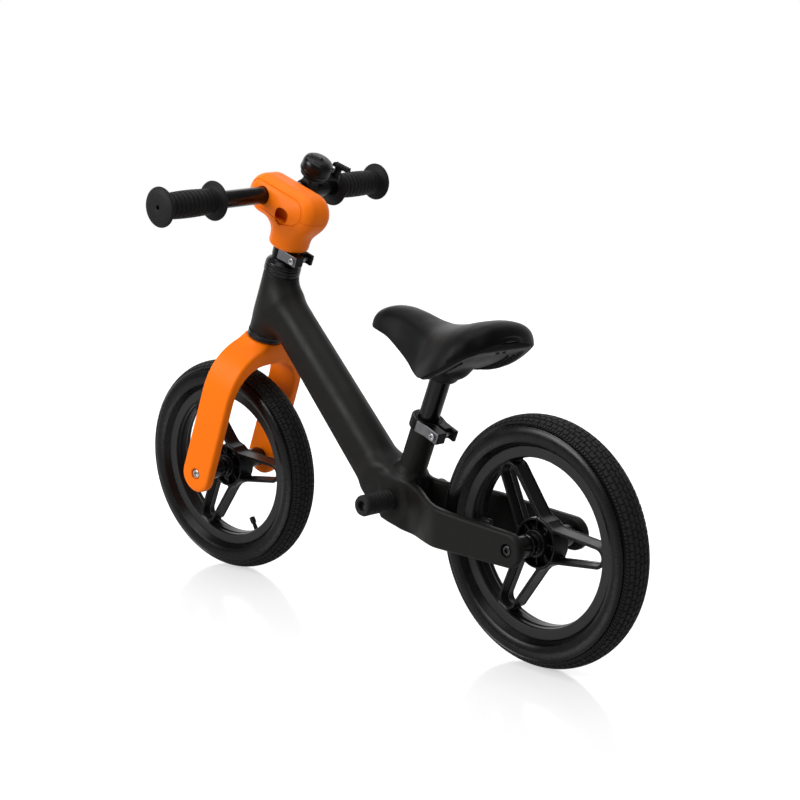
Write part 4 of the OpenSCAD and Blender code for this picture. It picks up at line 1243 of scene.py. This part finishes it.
def base_field(x, y, z):
    """Moulded base: a plate with a rim and a recess behind, and a pod round the post."""
    low = station(np.clip(x, -226, -34), 3)
    half = station(np.clip(x, -226, -34), 1) - 6.2
    roof = np.clip((half - 14.7) / 14, 0, 1) * 5.5 - 0.6
    plan = np.maximum(np.abs(y) - half, np.maximum(-224 - x, x + 36)) * 0.8
    recess = 5.0 * wave((half - 7 - np.abs(y)) / 5) * wave((x + 214) / 6) * wave((-112 - x) / 14)
    under = (low - 3.4 + recess * 0.85) - z
    plate = edge_round(plan, np.maximum(under, z - low - roof) * 0.92, 1.2)
    seat_across, seat_along = tilted(x, z, FOOT, SEAT_2D)
    radial = np.hypot(seat_across, y)
    pod = edge_round(radial - 18.5, SOCKET_LOW + 4 - seat_along, 5)
    swell = np.hypot(np.hypot(np.maximum(np.abs(x - POD_X + 6) - 14, 0), y), z - POD_Z - 3) - 17
    pod = np.maximum(join(pod, swell, 12), z - low - roof)
    body = join(plate, pod, 9)
    for inset in (14, 24):
        bead = np.maximum(np.abs(np.abs(y) - half + inset) - 0.9, np.maximum(-196 - x, x + 124))
        body = join(body, np.maximum(np.maximum(bead, z - low), low - 1.6 - z), 1.4)
    body = cut(body, np.maximum(radial - SEAT_BORE, seat_along - 185.5), 0.6)
    for side in (-1, 1):
        body = join(body, rod(np.hypot(x + 217, y - side * 5.5), z, 2.6, 350.4, 355, 0.5), 0.6)
    pin = np.hypot(seat_across, seat_along - SADDLE_PIN)
    body = cut(body, np.minimum(pin - 3.2, np.maximum(pin - 6, 20 - np.abs(y))), 0.5)
    return body


def make_saddle():
    cover = make_saddle_cover()
    add(cover, "saddle", "saddle_vinyl", "saddle_cover")
    base = cast("saddle_shell", base_field, (-228, -68, 296), (-32, 68, 372), 1.3, ROW, PLASTIC_BASE)
    add(base, "saddle", "black_plastic", "saddle_base")


make_saddle()


# ---------- finishes of the carried-over nodes ----------

dress(PLAIN_STEEL, "headset_lower_bearing", "headset_upper_bearing", "front_bearings", "rear_bearings",
      "front_axle", "rear_axle", "foot_peg_rod", "saddle_bolts", "crown_race")
dress(GLOSS_BLACK, "seat_post", "handlebar", "steerer_tube", "quill_tube")
dress(ALLOY_DARK, "stem_core")
dress(RUBBER_TUBE, "front_inner_tube", "rear_inner_tube")


# ---------- scene ----------

FLOOR_GLOW = 0.55
FLOOR_R = 3.1
SKY_SEEN = 1.0
SKY_CAST = 0.16
CAMERA_AT = (-1.4603, 1.3307, 0.6177)
CAMERA_DOWN = 9.99
CAMERA_TURN = 43.37


def stage_piece(name, corners, material):
    """Flat piece of the studio, which isn't part of the bike."""
    mesh = bpy.data.meshes.new(name)
    mesh.from_pydata(corners, [], [tuple(range(len(corners)))])
    mesh.materials.append(material)
    obj = bpy.data.objects.new(name, mesh)
    bpy.context.scene.collection.objects.link(obj)
    return obj


def make_stage():
    """White floor that fades into the background, and a bright card that the camera doesn't see."""
    n = Nodes("studio_floor")
    n.shader.inputs["Base Color"].default_value = (0.55, 0.55, 0.55, 1)
    n.shader.inputs["Roughness"].default_value = 0.13
    n.shader.inputs["Specular IOR Level"].default_value = 1.0
    n.shader.inputs["Emission Color"].default_value = (1, 1, 1, 1)
    seen = n.tree.nodes.new("ShaderNodeLightPath").outputs["Is Camera Ray"]
    n.feed(n.shader.inputs["Emission Strength"], n.spread(seen, 0.05, FLOOR_GLOW, 0.0, 1.0))
    turns = [2 * math.pi * k / 96 for k in range(96)]
    edge = [(FLOOR_R * math.cos(a), FLOOR_R * math.sin(a), 0) for a in turns]
    floor = stage_piece("studio_floor", edge, n.material)
    floor.location.z = CAD_BOX[0][2] - 0.0003
    back = Nodes("studio_backdrop")
    back.shader.inputs["Base Color"].default_value = (0.9, 0.9, 0.9, 1)
    back.shader.inputs["Emission Color"].default_value = (1, 1, 1, 1)
    back.shader.inputs["Emission Strength"].default_value = 1.0
    corners = [(3.4, -6, -0.3), (3.4, 6, -0.3), (3.4, 6, 4), (3.4, -6, 4)]
    card = stage_piece("studio_backdrop", corners, back.material)
    card.rotation_euler.z = math.radians(-43.4)
    card.visible_camera = False
    card.visible_shadow = False


def softbox(name, spot, target, size, power):
    data = bpy.data.lights.new(name, "AREA")
    data.shape = "RECTANGLE"
    data.size, data.size_y = size
    data.energy = power
    lamp = bpy.data.objects.new(name, data)
    lamp.location = spot
    lamp.rotation_euler = (Vector(target) - Vector(spot)).to_track_quat("-Z", "Y").to_euler()
    bpy.context.scene.collection.objects.link(lamp)


def make_world():
    """White behind the object, and much dimmer where it lights it."""
    world = bpy.data.worlds.new("studio")
    world.use_nodes = True
    tree = world.node_tree
    back = tree.nodes["Background"]
    back.inputs["Color"].default_value = (1, 1, 1, 1)
    seen = tree.nodes.new("ShaderNodeLightPath").outputs["Is Camera Ray"]
    level = tree.nodes.new("ShaderNodeMapRange")
    level.inputs["To Min"].default_value = SKY_CAST
    level.inputs["To Max"].default_value = SKY_SEEN
    tree.links.new(seen, level.inputs["Value"])
    tree.links.new(level.outputs["Result"], back.inputs["Strength"])
    bpy.context.scene.world = world
    bpy.context.scene.view_settings.view_transform = "Standard"


make_stage()
make_world()
CENTRE = (Vector(CAD_BOX[0]) + Vector(CAD_BOX[1])) / 2
softbox("key_left_front", CENTRE + Vector((0.7, 1.9, 0.9)), CENTRE, (1.1, 1.1), 35)
softbox("fill_left_rear", CENTRE + Vector((-2.2, 0.3, 1.2)), CENTRE, (0.5, 1.4), 7)
softbox("top", CENTRE + Vector((-0.1, 0.1, 1.7)), CENTRE, (1.8, 1.8), 22)

camera_data = bpy.data.cameras.new("camera")
camera_data.lens = 73.1
camera_data.sensor_width = 36
camera = bpy.data.objects.new("camera", camera_data)
camera.location = CAMERA_AT
camera.rotation_euler = (math.radians(90 - CAMERA_DOWN), 0, math.radians(-CAMERA_TURN - 90))
bpy.context.scene.collection.objects.link(camera)
bpy.context.scene.camera = camera
